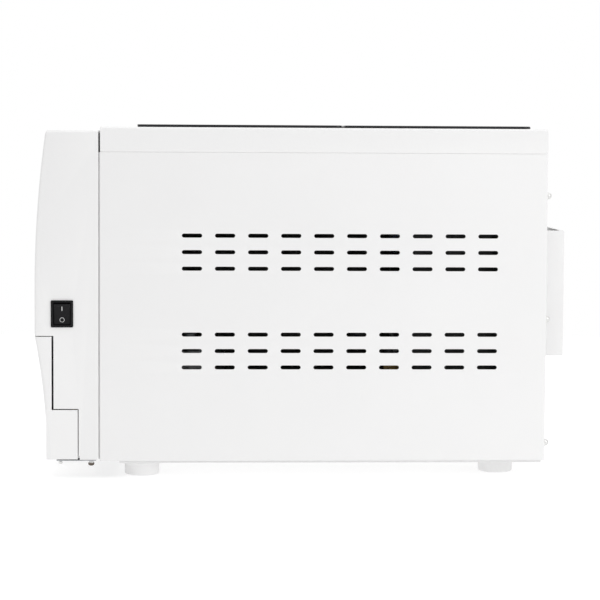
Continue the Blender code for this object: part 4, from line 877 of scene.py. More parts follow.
def hug(name, outlines, outer, inner, look, body="housing", stands_for=(), edits=(), bevel=0.2):
    """Flat outlines seen from the front, pressed onto the front's curve between two depths."""
    shape = Solid()
    for outline in outlines:
        shape.prism(outline, "Y", AHEAD, FRONT + 22)
    heights = [v for outline in outlines for u, v in outline]
    widths = [u for outline in outlines for u, v in outline]
    layer = band(min(heights) - 1, max(heights) + 1, outer, inner, min(widths) - 1, max(widths) + 1)
    return piece(name, shape, look, body, stands_for, within(layer) + [*edits], bevel)


def digit(left, low, width, height, thick=1.6, gap=0.25):
    """The seven bars of one figure on a display."""
    right, top, mid = left + width, low + height, low + height / 2
    half = thick / 2

    def flat(z):
        return [(left + half + gap, z), (left + thick + gap, z + half), (right - thick - gap, z + half),
                (right - half - gap, z), (right - thick - gap, z - half), (left + thick + gap, z - half)]

    def tall(x, base, head):
        return [(x, head - half - gap), (x + half, head - thick - gap), (x + half, base + thick + gap),
                (x, base + half + gap), (x - half, base + thick + gap), (x - half, head - thick - gap)]

    bars = [flat(top - half), flat(mid), flat(low + half)]
    for x in (left + half, right - half):
        bars += [tall(x, mid - half, top), tall(x, low, mid + half)]
    return bars


def display():
    """A dark window flush with the front, its unlit liquid-crystal panel and the figures' faint bars."""
    left, right, low, high = WINDOW_X[0] + 0.5, WINDOW_X[1] - 0.5, WINDOW_Z[0] + 0.5, WINDOW_Z[1] - 0.5
    hug("window_pane", [rounded(left, right, low, high, 3.6, 10)], 0.4, 2.6, "window",
        stands_for=["display_window"], bevel=0.3)
    panel = rounded(left + 7, right - 7, low + 12, high - 7, 1.2, 6)
    hug("display_panel", [panel], 0.34, 0.6, "screen", bevel=0)
    bars = []
    for x in (128.0, 140.5, 157.0, 169.5):
        bars += digit(x, 327.0, 9.5, 20.0)
    bars.append(circle((153.3, 333.0), 0.9, 20))
    bars.append(circle((153.3, 341.0), 0.9, 20))
    for x in (186.0, 193.5):
        bars += digit(x, 338.0, 5.0, 9.6, 0.9, 0.15)
    bars += [rectangle(186 + 2.7 * i, 187.9 + 2.7 * i, 327.5, 330.5) for i in range(5)]
    hug("display_figures", bars, 0.30, 0.5, "segment", bevel=0)
    marks = [circle((x, 311.2), 1.5, 32) for x in (131.0, 149.0, 167.0, 185.0)]
    hug("display_lamps", marks, 0.22, 0.6, "grey_plastic", bevel=0.1)


def key_icon(name, x):
    """The arrow on a key, as outlines seen from the front."""
    size = 3.1
    if name == "down_key":
        return [[(x - size, KEY_Z + 1.7), (x, KEY_Z - 2.6), (x + size, KEY_Z + 1.7)]]
    if name == "up_key":
        return [[(x - size, KEY_Z - 1.7), (x + size, KEY_Z - 1.7), (x, KEY_Z + 2.6)]]
    return [[(x - 2.0, KEY_Z - 2.9), (x + 3.1, KEY_Z), (x - 2.0, KEY_Z + 2.9)]]


def keys():
    """Round dished keys with an arrow each, in a shallow ring."""
    front = front_y(KEY_Z)
    face, collar = front - 0.6, front + SKIN + 1.0
    r = KEY_RADIUS
    crown = [(0, face + 0.55), (r * 0.3, face + 0.5), (r * 0.6, face + 0.28), (r - 1.6, face + 0.02),
             (r - 1.1, face)]
    crown += [(r - 0.5, face + 0.18), (r - 0.12, face + 0.55), (r, face + 1.1)]
    profile = crown + [(r, collar), (r + 1.6, collar), (r + 1.6, collar + 1.4), (2.5, collar + 1.4),
                       (2.5, collar + 4), (0, collar + 4)]
    for name, x in KEY_PLACES.items():
        piece(f"{name}_cap", turned(profile, (x, KEY_Z), "Y"), "grey_plastic", name, [name], bevel=0)
        icon = Solid()
        for outline in key_icon(name, x):
            icon.prism(outline, "Y", face + 0.36, face + 1.0)
        piece(f"{name}_icon", icon, "mark_white", name, bevel=0)
        ring = turned([(r + 0.65, front - 0.15), (r + 1.5, front - 0.15), (r + 1.5, front + 1.2),
                       (r + 0.65, front + 1.2)], (x, KEY_Z), "Y")
        piece(f"{name}_ring", ring, "grey_plastic", bevel=0.1)


PAPER_AXIS, PLATEN_AXIS = (-276.5, 204.5), (-291.2, 224.0)


def printer():
    """The printer's frame and platen, its paper roll and the drop-down cover."""
    left, right = PRINTER_X[0] + 0.8, PRINTER_X[1] - 0.8
    low, high = PRINTER_Z[0] + 2.0, PRINTER_Z[1] - 0.8
    case = prism(rounded(left, right, low, high, 2, 6), "Y", -297.0, -246.0)
    bay = prism(rounded(left + 4, right - 4, low + 6, high - 10, 4, 8), "Y", AHEAD, -256.0)
    throat = box((left + 8, right - 8), (AHEAD, -285.0), (high - 6.5, high - 4.5))
    teeth = Solid()
    for i in range(24):
        x = left + 9 + i * (right - left - 18) / 24
        teeth.prism([(x, high - 4.6), (x + 2.4, high - 4.6), (x + 1.2, high - 5.8)], "Y", -297.0, -296.2)
    piece("printer_case", case, "black_plastic", stands_for=["printer_unit"],
          edits=minus(bay, throat) + plus(teeth), bevel=0.3)
    roll = [(4.2, 121.5), (17.0, 121.5), (17.4, 122.0), (17.4, 178.0), (17.0, 178.5), (4.2, 178.5)]
    rings = turned(roll, PAPER_AXIS, "X")
    piece("paper_roll", rings, "paper", bevel=0)
    core = turned([(2.6, 120.5), (4.2, 120.5), (4.2, 179.5), (2.6, 179.5)], PAPER_AXIS, "X", 48)
    piece("paper_core", core, "grey_plastic", bevel=0.2)
    spindle = rod(PAPER_AXIS, 2.4, "X", 116.6, 183.4, 40)
    piece("paper_spindle", spindle, "black_plastic", bevel=0.2)
    platen = rod(PLATEN_AXIS, 2.0, "X", 118.0, 182.0, 40)
    piece("printer_platen", platen, "black_plastic", bevel=0.2)

    outline = rounded(left, right, low, high, 3, 8)
    slot = prism(rounded(left + 9, right - 9, high - 7.5, high - 5.0, 1.1, 6), "Y", AHEAD, FRONT + 22)
    grip = prism(rounded(142, 158, high - 2.6, high + 4, 1.2, 6), "Y", AHEAD, FRONT + 1.9)
    recess = prism(rounded(left + 6, right - 6, low + 7, high - 13, 2.5, 8), "Y", AHEAD, FRONT + 0.75)
    raised = []
    for i in range(5):
        z = low + 14 + 5.2 * i
        line = rounded(left + 12, right - 12, z, z + 2.2, 1.0, 4)
        raised += plus(prism(line, "Y", FRONT + 0.55, FRONT + 1.6))
    hug("printer_cover_shell", [outline], 0.4, 3.0, "grey_plastic", "printer_cover", ["printer_cover"],
        minus(slot, grip, recess) + [*raised], bevel=0.3)


# Door


DOOR_LEFT, DOOR_RIGHT, DOOR_LOW, DOOR_HIGH = -214.5, 90.5, 33.0, 343.0
DOOR_REAR, DOOR_SINK = HINGE_Y + HINGE_EDGE_RADIUS, 0.4
BRACKETS = ((120.0, 146.0), (240.0, 266.0))
ARMS = ((150.0, 166.0), (210.0, 226.0))


def door_plan(inset):
    """The door seen from above, drawn in by the inset, with its edge round about the hinge."""
    radius = HINGE_EDGE_RADIUS - inset
    right = DOOR_RIGHT - inset
    if inset:
        edge = arc((HINGE_X, HINGE_Y), radius, 135, 270, 30)
        return edge + [(right, HINGE_Y - radius - 5), (right, DOOR_REAR + 8), (edge[0][0], DOOR_REAR + 8)]
    edge = arc((HINGE_X, HINGE_Y), radius, 90, 268, 40)
    return edge + [(HINGE_X + 1, HINGE_Y - radius - 2), (right, HINGE_Y - radius - 2), (right, DOOR_REAR)]


def door_cover():
    """The white door moulding: round left edge, rounded corners and a round dish for the handle."""
    low, high, left, right = DOOR_LOW, DOOR_HIGH, DOOR_LEFT, DOOR_RIGHT
    shell = prism(door_plan(0), "Z", low - 1, high + 1)
    hollow = linked("door_hollow", prism(door_plan(SKIN), "Z", low + SKIN, high - SKIN).mesh("door_hollow"))
    core = prism(front_profile(low, high, DOOR_REAR + 20, SKIN + DOOR_SINK), "X", left - 5, right + 5)
    carve(hollow, within(core))
    inner = Solid()
    inner.bm.from_mesh(hollow.data)
    inner.bm.transform(Matrix.Scale(1 / MM, 4))
    bpy.data.objects.remove(hollow, do_unlink=True)
    cup_back = DISH_FLOOR + 2.5
    cup = rod(CHAMBER, DISH_RADIUS + SKIN, "Y", FRONT - 0.5, cup_back, 128)
    sheath = prism(front_profile(low - 3, high + 3, DOOR_REAR + 3, DOOR_SINK), "X", left - 5, right + 5)
    corners = prism(rounded(left, right, low, high, 10, 14), "Y", AHEAD, BEHIND)
    dish = turned([(0, AHEAD), (DISH_RADIUS, AHEAD), (DISH_RADIUS, DISH_FLOOR - 4),
                   (DISH_RADIUS - 0.6, DISH_FLOOR - 1.6), (DISH_RADIUS - 2.0, DISH_FLOOR - 0.4),
                   (DISH_RADIUS - 4.2, DISH_FLOOR), (0, DISH_FLOOR)], CHAMBER, "Y", 128)
    bore = rod(CHAMBER, 9.0, "Y", DISH_FLOOR - 5, cup_back + 5, 64)
    notches = Solid()
    for bottom, top in BRACKETS:
        sector = [(HINGE_X + 8, HINGE_Y), *arc((HINGE_X, HINGE_Y), 21.0, 60, 228, 32)]
        notches.prism(sector, "Z", bottom - 2, top + 2)
    edits = minus(inner) + plus(cup) + within(sheath, corners) + minus(dish, bore, notches)
    piece("door_moulding", shell, "white_plastic", "door", ["door_cover"], edits, bevel=0.6, steps=3)
    ring = turned([(DISH_RADIUS - 0.5, AHEAD), (DISH_RADIUS + 1.6, AHEAD), (DISH_RADIUS + 1.6, FRONT + 18),
                   (DISH_RADIUS - 0.5, FRONT + 18)], CHAMBER, "Y", 128)
    reach = DISH_RADIUS + 4
    follow = band(CHAMBER[1] - reach, CHAMBER[1] + reach, 0.12, 1.6, CHAMBER[0] - reach, CHAMBER[0] + reach)
    piece("dish_ring", ring, "aluminium", "door", edits=within(follow), bevel=0.12)


def handle():
    """A bar handle with a soft grip inlay, a hub with a cap, and its shaft."""
    x, z = CHAMBER
    layers = ((1.6, -287.0), (0.5, -287.8), (0, -289.0), (0, -296.8), (0.35, -298.4), (1.2, -299.7),
              (2.8, -300.5))
    bar = loft([(rounded(x - 59 + i, x + 59 - i, z - 11 + i, z + 11 - i, 10.9 - i, 14), y) for i,
                y in layers], "Y")
    hub = turned([(0, -284.0), (17, -284.0), (17, -297.0), (16.2, -298.4), (15, -299.0), (0, -299.0)],
                 (x, z), "Y")
    shaft = rod((x, z), 8.2, "Y", -286, -276.8)
    pocket = prism(rounded(x - 52, x - 20, z - 4.5, z + 4.5, 4.4, 10), "Y", -301, -299.7)
    pocket.prism(rounded(x + 20, x + 52, z - 4.5, z + 4.5, 4.4, 10), "Y", -301, -299.7)
    cap = rod((x, z), 8.6, "Y", -301.5, -299.9)
    piece("handle_bar", bar, "grey_plastic", "handle", ["door_handle"],
          plus(hub, shaft) + minus(pocket, cap), bevel=0.3)
    for i, (start, end) in enumerate(((x - 51.8, x - 20.2), (x + 20.2, x + 51.8))):
        grip = prism(rounded(start, end, z - 4.3, z + 4.3, 4.2, 10), "Y", -300.3, -299.6)
        for k in range(7):
            place = start + 5.8 + k * 3.3
            grip.prism(rounded(place, place + 1.5, z - 3.0, z + 3.0, 0.7, 4), "Y", -300.48, -300.1)
        piece(f"handle_grip_{i}", grip, "black_plastic", "handle", bevel=0.1)
    disc = turned([(0, -300.3), (7.4, -300.3), (8.2, -299.9), (8.2, -299.2), (0, -299.2)], (x, z), "Y")
    piece("handle_cap", disc, "aluminium", "handle", bevel=0)


def latch():
    """Cam disc with its two curved tracks, the bolts with a chamfered tip and the catches."""
    x, z = CHAMBER
    cam = turned([(9.0, -280.5), (32, -280.5), (32, -276.6), (9.0, -276.6)], (x, z), "Y")
    tracks = []
    for start in (20, 200):
        outer = arc((x, z), 26, start, start + 100, 24)
        inner = arc((x, z), 20, start, start + 100, 24)
        tracks += minus(prism(outer + inner[::-1], "Y", -290, -270))
    piece("cam_disc", cam, "steel", "handle", ["latch_cam"], tracks, bevel=0.3)
    for name, way in (("upper", 1), ("lower", -1)):
        low, high = span(f"{name}_latch_bolt")
        tip = high.z if way > 0 else low.z
        root = low.z if way > 0 else high.z
        side = [(x - 7, root), (x + 7, root), (x + 7, tip - way * 3), (x + 5, tip), (x - 5, tip),
                (x - 7, tip - way * 3)]
        bolt = prism(side, "Y", low.y, high.y)
        slot_low, slot_high = sorted((root + way * 34, root + way * 66))
        slot = prism(rounded(x - 2.5, x + 2.5, slot_low, slot_high, 2.4, 8), "Y", low.y - 2, high.y + 2)
        piece(f"{name}_bolt_bar", bolt, "steel", f"{name}_bolt", [f"{name}_latch_bolt"], minus(slot),
              bevel=0.4)
        near, far = span(f"{name}_catch")
        block = prism(rounded(near.x, far.x, near.z, far.z, 1.6, 6), "Y", near.y, far.y)
        end = z + way * (132.5 + 12.5)
        pocket_low, pocket_high = sorted((z + way * 131.5, end))
        pocket = box((x - 8, x + 8), (-276.8, -267.8), (pocket_low, pocket_high))
        piece(f"{name}_catch_block", block, "steel", stands_for=[f"{name}_catch"], edits=minus(pocket),
              bevel=0.5)


def door_inside():
    """Liner with a pressed frame, pressure plate with a machined rim and a central boss, and the seal."""
    x, z = CHAMBER
    low, high = span("door_liner")
    liner = prism(rounded(low.x, high.x, low.z, high.z, 5, 8), "Y", low.y, high.y)
    hole = rod(CHAMBER, 133.5, "Y", low.y - 9, high.y + 9, 128)
    reach = 148.0
    gap = box((x - 24, x + 24), (low.y - 9, high.y + 9), (z - reach, z + reach))
    frame_line = prism(rounded(low.x + 9, high.x - 9, low.z + 9, high.z - 9, 4, 8), "Y", high.y - 0.45,
                       high.y + 1)
    keep = prism(rounded(low.x + 10.4, high.x - 10.4, low.z + 10.4, high.z - 10.4, 3.4, 8), "Y", high.y - 1,
                 high.y)
    piece("liner_sheet", liner, "white_plastic", "door", ["door_liner"],
          minus(frame_line) + plus(keep) + minus(hole, gap), bevel=0.25)
    for i, (u, v) in enumerate(((-176, 44), (79, 44), (-176, 332), (79, 332))):
        screw(f"liner_screw_{i}", (u, v, high.y), "Y", 1, body="door", radius=2.6, height=1.6)
    front, rear, radius = -256.0, -243.3, 132.0
    plate = turned([(0, front), (radius - 4, front), (radius - 1, front + 1.2), (radius, front + 4),
                    (radius, rear + 0.5), (radius - 0.5, rear), (118, rear), (117, rear - 1.2),
                    (60, rear - 2.2), (24, rear - 2.4), (23, rear - 1.2), (12, rear - 1.0), (0, rear - 1.0)],
                   CHAMBER, "Y", 160)
    piece("pressure_plate", plate, "bright_steel", "door", ["door_plate"], bevel=0)
    lips = [(122.5, rear + GAP), (130.5, rear + GAP), (130.5, -241.1), (129.6, -240.35), (127.4, -240.3),
            (126.5, -241.1), (125.4, -241.1), (124.6, -240.4), (123.4, -240.4), (122.5, -241.2)]
    piece("seal_ring", turned(lips, CHAMBER, "Y", 160), "silicone", "door", ["door_gasket"], bevel=0)


def door_hinge():
    """Bracket and arm with round knuckles about a pin."""
    axis = (HINGE_X, HINGE_Y)
    back = -229.9
    low, high = BRACKETS[0][0], BRACKETS[1][1]
    bracket = prism(rounded(-236, back, low, high, 0.5, 3), "X", -207.5, -197.5)
    arms, barrels = Solid(), Solid()
    for bottom, top in BRACKETS:
        arms.box((-203, -191), (HINGE_Y + 2, back - 0.01), (bottom + 0.01, top - 0.01))
        barrels.rod(axis, 8.5, "Z", bottom, top, 64)
    bore = rod(axis, 5.4, "Z", low - 30, high + 24, 48)
    bore_again = rod(axis, 5.4, "Z", low - 30, high + 24, 48)
    piece("hinge_bracket", bracket, "steel", stands_for=["door_hinge_bracket"],
          edits=plus(arms, barrels) + minus(bore), bevel=0.4)
    pin_profile = [(0, low - 6), (4.2, low - 6), (5, low - 5.2), (5, high + 5.2), (4.2, high + 6),
                   (0, high + 6)]
    piece("hinge_pin", turned(pin_profile, axis, "Z", 64), "bright_steel", stands_for=["door_hinge_pin"],
          bevel=0)
    pad = prism(rounded(-160, -118, ARMS[0][0], ARMS[1][1], 4, 8), "Y", -262.3, -256.3)
    plan = bent([(-195, -290.5), (-170, -290.5, 6), (-152, -262, 4), (-152, -258), (-168, -258, 4),
                 (-178, -278.5, 6), (-195, -278.5)])
    knuckles, necks = Solid(), Solid()
    for bottom, top in ARMS:
        knuckles.rod(axis, 8.5, "Z", bottom, top, 64)
        necks.prism(plan, "Z", bottom + 0.01, top - 0.01)
    piece("hinge_arm", pad, "steel", "door", ["door_hinge_arm"], plus(necks, knuckles) + minus(bore_again),
          bevel=0.4)
    for i, (u, v) in enumerate(((-139, 159), (-139, 188), (-139, 217))):
        screw(f"arm_screw_{i}", (u, v, -262.3), "Y", -1, body="door", radius=3.4, height=2.0)


# Chamber


def vessel():
    """The chamber: a rolled vessel with a dished end, a machined flange, ports and a probe inside."""
    x, z = CHAMBER
    inner, outer, flange = 120.0, 123.0, 133.5
    front, back = -240.0, 118.0
    dome_in = [(inner * sin(radians(a)), back + 28 * cos(radians(a)) ** 1.15) for a in range(0, 91, 6)]
    dome_in = [(r, w) for r, w in dome_in if r < inner - 0.01]
    dome_out = [((outer - 0.2) * sin(radians(a)), back + 31 * cos(radians(a)) ** 1.05)
                for a in range(84, -1, -6)]
    profile = [(0, back + 28)] + dome_in[1:] + [(inner, back - 2), (inner, front + 0.6), (inner + 0.6, front)]
    profile += [(flange - 0.8, front), (flange, front + 0.8), (flange, front + 9.4),
                (flange - 0.6, front + 10)]
    profile += [(outer, front + 10), (outer, back)] + dome_out[:-1] + [(0, back + 31)]
    piece("vessel_shell", turned(profile, CHAMBER, "Y", 160), "steel", stands_for=["pressure_vessel"],
          bevel=0)
    probe = turned([(0, 60), (2.0, 60), (2.4, 61), (2.4, 141), (7, 141), (7, 147), (0, 147)],
                   (x + 62, z + 52), "Y", 40)
    piece("chamber_probe", probe, "bright_steel", bevel=0.2)
    port = turned([(5, 134), (9.5, 134), (9.5, 145), (5, 145)], (x - 58, z + 60), "Y", 48)
    piece("steam_port", port, "bright_steel", bevel=0.4)
    drain = turned([(0, 130), (11, 130), (12, 131), (12, 140), (0, 140)], (x, z - 96), "Y", 64)
    holes = Solid()
    for radius, count in ((3.4, 6), (7.4, 12)):
        for i in range(count):
            a = 2 * pi * i / count
            holes.rod((x + radius * cos(a), z - 96 + radius * sin(a)), 1.0, "Y", 125, 136, 16)
    piece("drain_screen", drain, "bright_steel", edits=minus(holes), bevel=0)


def rack():
    """The folded rack with ledges for three trays, lightened with long holes."""
    x, z = CHAMBER
    half, sheet, ledge, bottom, top = 77.5, 1.5, 8.0, -90.0, 62.0
    right = [(half, top), (half - sheet, top)]
    for level in (216.0, 172.0, 128.0):
        v = level - z
        right += [(half - sheet, v), (half - ledge, v), (half - ledge, v - sheet), (half - sheet, v - sheet)]
    right.append((half - sheet, bottom + sheet))
    left = [(-u, v) for u, v in reversed(right)]
    outline = [(half, bottom)] + right + left + [(-half, bottom)]
    shape = prism([(x + u, z + v) for u, v in outline], "Y", -224, 112)
    floor_holes, side_holes = Solid(), Solid()
    for i in range(5):
        y = -190 + 67 * i
        floor_holes.prism(centred(x, y, 55, 20, 8, 6), "Z", z - 100, z - 80)
        for low, high in ((136, 160), (180, 204), (222, 242)):
            side_holes.prism(rounded(y - 24, y + 24, low, high, 7, 6), "X", x - 90, x + 90)
    piece("rack_sheet", shape, "steel", stands_for=["tray_rack"], edits=minus(floor_holes, side_holes),
          bevel=0.2)


def trays():
    """Three perforated instrument trays, each with a grip hole at the front."""
    x = CHAMBER[0]
    half = 75.1
    left, right, front, rear, sheet = x - half, x + half, -220.0, 106.0, 1.0
    pattern = Solid()
    for i in range(9):
        for j in range(21):
            u, v = x + (i - 4) * 15.2, -202 + j * 14.6
            pattern.rod((u, v), 3.0, "Z", -5, 5, 12)
    openings = pattern.mesh("tray_pattern")
    for name in ("lower_tray", "middle_tray", "upper_tray"):
        low = span(name)[0].z
        shape = prism(rounded(left, right, front, rear, 6, 8), "Z", low, low + 16)
        inside = prism(rounded(left + sheet, right - sheet, front + sheet, rear - sheet, 5, 8), "Z",
                       low + sheet, low + 20)
        grid = Solid()
        grid.bm.from_mesh(openings)
        grid.bm.transform(Matrix.Scale(1 / MM, 4))
        grid.move((0, 0, low))
        grip = prism(rounded(x - 26, x + 26, low + 6.2, low + 12.2, 2.9, 6), "Y", front - 5, front + 5)
        piece(f"{name}_sheet", shape, "bright_steel", stands_for=[name], edits=minus(inside, grid, grip),
              bevel=0)
    bpy.data.meshes.remove(openings)


def bulkhead_screws():
    """Six screws round the door opening."""
    for i, (u, v) in enumerate(((-196, 300), (-196, 60), (70, 60), (70, 318), (-150, 336), (20, 336))):
        screw(f"bulkhead_screw_{i}", (u, v, -229.6), "Y", -1, radius=3.4, height=2.0)


# Service bay


FILTER_CENTRE = (148.0, 122.0)


def air_filter():
    """A round filter with a ribbed rim and a grille over its fleece."""
    x, z = FILTER_CENTRE
    back = COMPARTMENT_BACK - GAP
    profile = [(0, -277.6), (21.5, -277.6), (21.5, -279), (25, -279), (26.6, -278.4), (27.6, -277.2),
               (28, -276), (28, -263), (26, -261.6), (13, -258), (8.6, -255.6), (8, -254.8), (8, back),
               (0, back)]
    teeth = Solid()
    for i in range(24):
        tooth = box((27.2, 28.9), (-275.5, -264), (-0.8, 0.8)).turn(15 * i, "Y").move((x, 0, z))
        teeth.add(tooth)
    piece("filter_case", turned(profile, (x, z), "Y"), "white_plastic", stands_for=["air_filter"],
          edits=plus(teeth), bevel=0.2)
    piece("filter_fleece_disc", rod((x, z), 21.2, "Y", -278.0, -277.2, 64), "filter_fleece", bevel=0)
    grille = Solid()
    for i in range(8):
        grille.add(box((4.4, 21.8), (-278.9, -277.8), (-0.7, 0.7)).turn(45 * i, "Y").move((x, 0, z)))
    grille.turned([(3.4, -278.9), (5.2, -278.9), (5.2, -277.8), (3.4, -277.8)], (x, z), "Y", 64)
    grille.turned([(12.4, -278.9), (13.8, -278.9), (13.8, -277.8), (12.4, -277.8)], (x, z), "Y", 96)
    piece("filter_grille", grille, "white_plastic", bevel=0.15)


TAP_X, SPOUT_Z, KNOB_Z = (130.0, 166.0), 44, 65


def drain_taps():
    """A brass block with two barbed spouts and two winged knobs."""
    back = COMPARTMENT_BACK - GAP
    block = prism(rounded(114, 182, 34, 80, 3, 8), "Y", -264, back)
    bores = Solid()
    spouts = Solid()
    for x in TAP_X:
        barb = [(3.0, -278), (4.2, -278), (5.0, -275.4), (4.2, -275.2), (5.0, -272.4), (4.2, -272.2),
                (4.2, -269), (6.2, -269), (6.2, -262), (3.0, -262)]
        spouts.turned(barb, (x, SPOUT_Z), "Y", 48)
        bores.rod((x, SPOUT_Z), 3.0, "Y", -285, -266, 40)
        bores.rod((x, KNOB_Z), 3.4, "Y", -270, -256, 40)
    piece("tap_block", block, "brass", stands_for=["drain_taps"], edits=plus(spouts) + minus(bores),
          bevel=0.5, steps=3)
    for name, x in zip(("clean_drain_knob", "waste_drain_knob"), TAP_X):
        profile = [(0, -277), (9.6, -277), (10.6, -276.4), (11, -275.4), (11, -265.6), (10.6, -265),
                   (3, -265), (3, -257), (0, -257)]
        flutes = Solid()
        for i in range(18):
            a = 2 * pi * i / 18
            flutes.rod((x + 11.7 * cos(a), KNOB_Z + 11.7 * sin(a)), 1.3, "Y", -276, -264, 12)
        wing = prism(rounded(x - 2, x + 2, KNOB_Z - 9, KNOB_Z + 9, 1.9, 8), "Y", -279.5, -276)
        piece(f"{name}_body", turned(profile, (x, KNOB_Z), "Y"), "black_plastic", name, [name],
              minus(flutes) + plus(wing), bevel=0.25)
        line = prism(rounded(x - 0.5, x + 0.5, KNOB_Z + 4, KNOB_Z + 8, 0.4, 4), "Y", -279.62, -279.2)
        piece(f"{name}_line", line, "mark_white", name, bevel=0)


# Top


STRAINER_X, FLOAT_X, FLOAT_BACK = -110, 120, 60


def tanks():
    """Two moulded tubs with rounded corners, an outlet strainer, a float on a stem and a baffle."""
    bottom, top = span("clean_water_tank")[0].z, span("clean_water_tank")[1].z
    for kind, y_span in LID_SPANS.items():
        outer = loft([(lid_outline(y_span, 5.4, 10.6), bottom), (lid_outline(y_span, 4.0, 12), bottom + 1.4),
                      (lid_outline(y_span, 4.0, 12), top)], "Z")
        inner = loft([(lid_outline(y_span, 10.5, 6.5), bottom + 2.5),
                      (lid_outline(y_span, 7.6, 9), bottom + 4), (lid_outline(y_span, 6.5, 10), bottom + 7),
                      (lid_outline(y_span, 6.5, 10), top + 5)], "Z")
        piece(f"{kind}_tub", outer, "tank_plastic", stands_for=[f"{kind}_water_tank"], edits=minus(inner),
              bevel=0.4)
        mid = (y_span[0] + y_span[1]) / 2
        floor = bottom + 2.5
        strainer = [(0, floor), (15, floor), (15, floor + 1.5), (13, floor + 2), (13, floor + 12),
                    (11.5, floor + 13.4), (0, floor + 13.4)]
        pits = Solid()
        for i in range(16):
            a = 22.5 * i
            notch = box((11.6, 14.5), (-0.9, 0.9), (floor + 3.4, floor + 11.4))
            pits.add(notch.turn(a, "Z").move((STRAINER_X, mid, 0)))
        piece(f"{kind}_strainer", turned(strainer, (STRAINER_X, mid), "Z", 64), "white_plastic",
              edits=minus(pits), bevel=0.2)
        stem = turned([(0, floor), (9, floor), (9, floor + 2), (2.4, floor + 2.6), (2.4, floor + 40),
                       (4.4, floor + 40.4), (4.4, floor + 42), (0, floor + 42)], (FLOAT_X, mid + FLOAT_BACK),
                      "Z", 48)
        piece(f"{kind}_float_stem", stem, "bright_steel", bevel=0)
        ball = [(2.9, floor + 6)] + [(4 + 8 * sin(radians(a)), floor + 14 - 8 * cos(radians(a)))
                                     for a in range(20, 161, 10)]
        ball.append((2.9, floor + 22))
        piece(f"{kind}_float", turned(ball, (FLOAT_X, mid + FLOAT_BACK), "Z", 64), "silicone", bevel=0)
        guard = rounded(-34, 34, y_span[1] - 34, y_span[1] - 12, 3, 6)
        piece(f"{kind}_baffle", prism(guard, "Z", top - 14, top - 11.6), "tank_plastic", bevel=0.3)


# Rear


FAN_CENTRE, REAR_DRAIN = (123.0, 214.0), (-120, 70)
REAR_SCREW_X, REAR_SCREW_HEIGHTS = 215.0, (324.8, 182.3, 38.8)


def rear_plate():
    """The rear sheet with the fan's slots, a row of upright slots and the inlet's cut-out."""
    low, high = span("rear_panel")
    front, rear = low.y, high.y
    fan_x, fan_z = FAN_CENTRE
    sheet = box((low.x, high.x), (front, rear), (low.z, high.z))
    holes = Solid()
    for i in range(7):
        z = fan_z + 18 * (i - 3)
        holes.prism(centred(fan_x, z, 55, 4.5, 4.4, 8), "Y", front - 5, rear + 5)
    for i in range(9):
        x = -160 + 15 * i
        holes.prism(rounded(x - 2.5, x + 2.5, 235, 290, 2.4, 8), "Y", front - 5, rear + 5)
    holes.prism(rounded(136, 164, 52, 98, 1.5, 4), "Y", front - 5, rear + 5)
    piece("rear_sheet", sheet, "white_paint", stands_for=["rear_panel"], edits=minus(holes), bevel=0)
    seat = SHELL_HIGH.y
    for side in (-1, 1):
        for i, z in enumerate(REAR_SCREW_HEIGHTS):
            name = f"rear_screw_{'left' if side < 0 else 'right'}_{i}"
            washer = turned([(0, seat - 0.3), (4.6, seat - 0.3), (4.9, seat + 0.2), (4.9, seat + 0.7),
                             (4.6, seat + 1.1), (0, seat + 1.1)], (side * REAR_SCREW_X, z), "Y", 48)
            piece(f"{name}_washer", washer, "screw_steel", bevel=0)
            screw(name, (side * REAR_SCREW_X, z, seat + 1.1), "Y", 1, radius=3.7, height=4.2, deep=2.4)
    for i, x in enumerate((-150.0, 0.0, 150.0)):
        screw(f"rear_top_screw_{i}", (x, 386, rear), "Y", 1, radius=3.2, height=2.0)
        screw(f"rear_low_screw_{i}", (x, 30, rear), "Y", 1, radius=3.2, height=2.0)
    drain = turned([(3.2, rear - 1), (8.5, rear - 1), (8.5, rear + 2.2), (7.6, rear + 3.0),
                    (5.4, rear + 3.0), (5.4, rear + 14), (4.6, rear + 16), (3.2, rear + 16)], REAR_DRAIN,
                   "Y", 64)
    piece("rear_drain_spout", drain, "brass", bevel=0.2)
    nut = prism(circle(REAR_DRAIN, 9.6, 6), "Y", rear + 0.1, rear + 4.6)
    piece("rear_drain_nut", nut, "brass", bevel=0.5)


INLET_CENTRE = (150.0, 75.0)


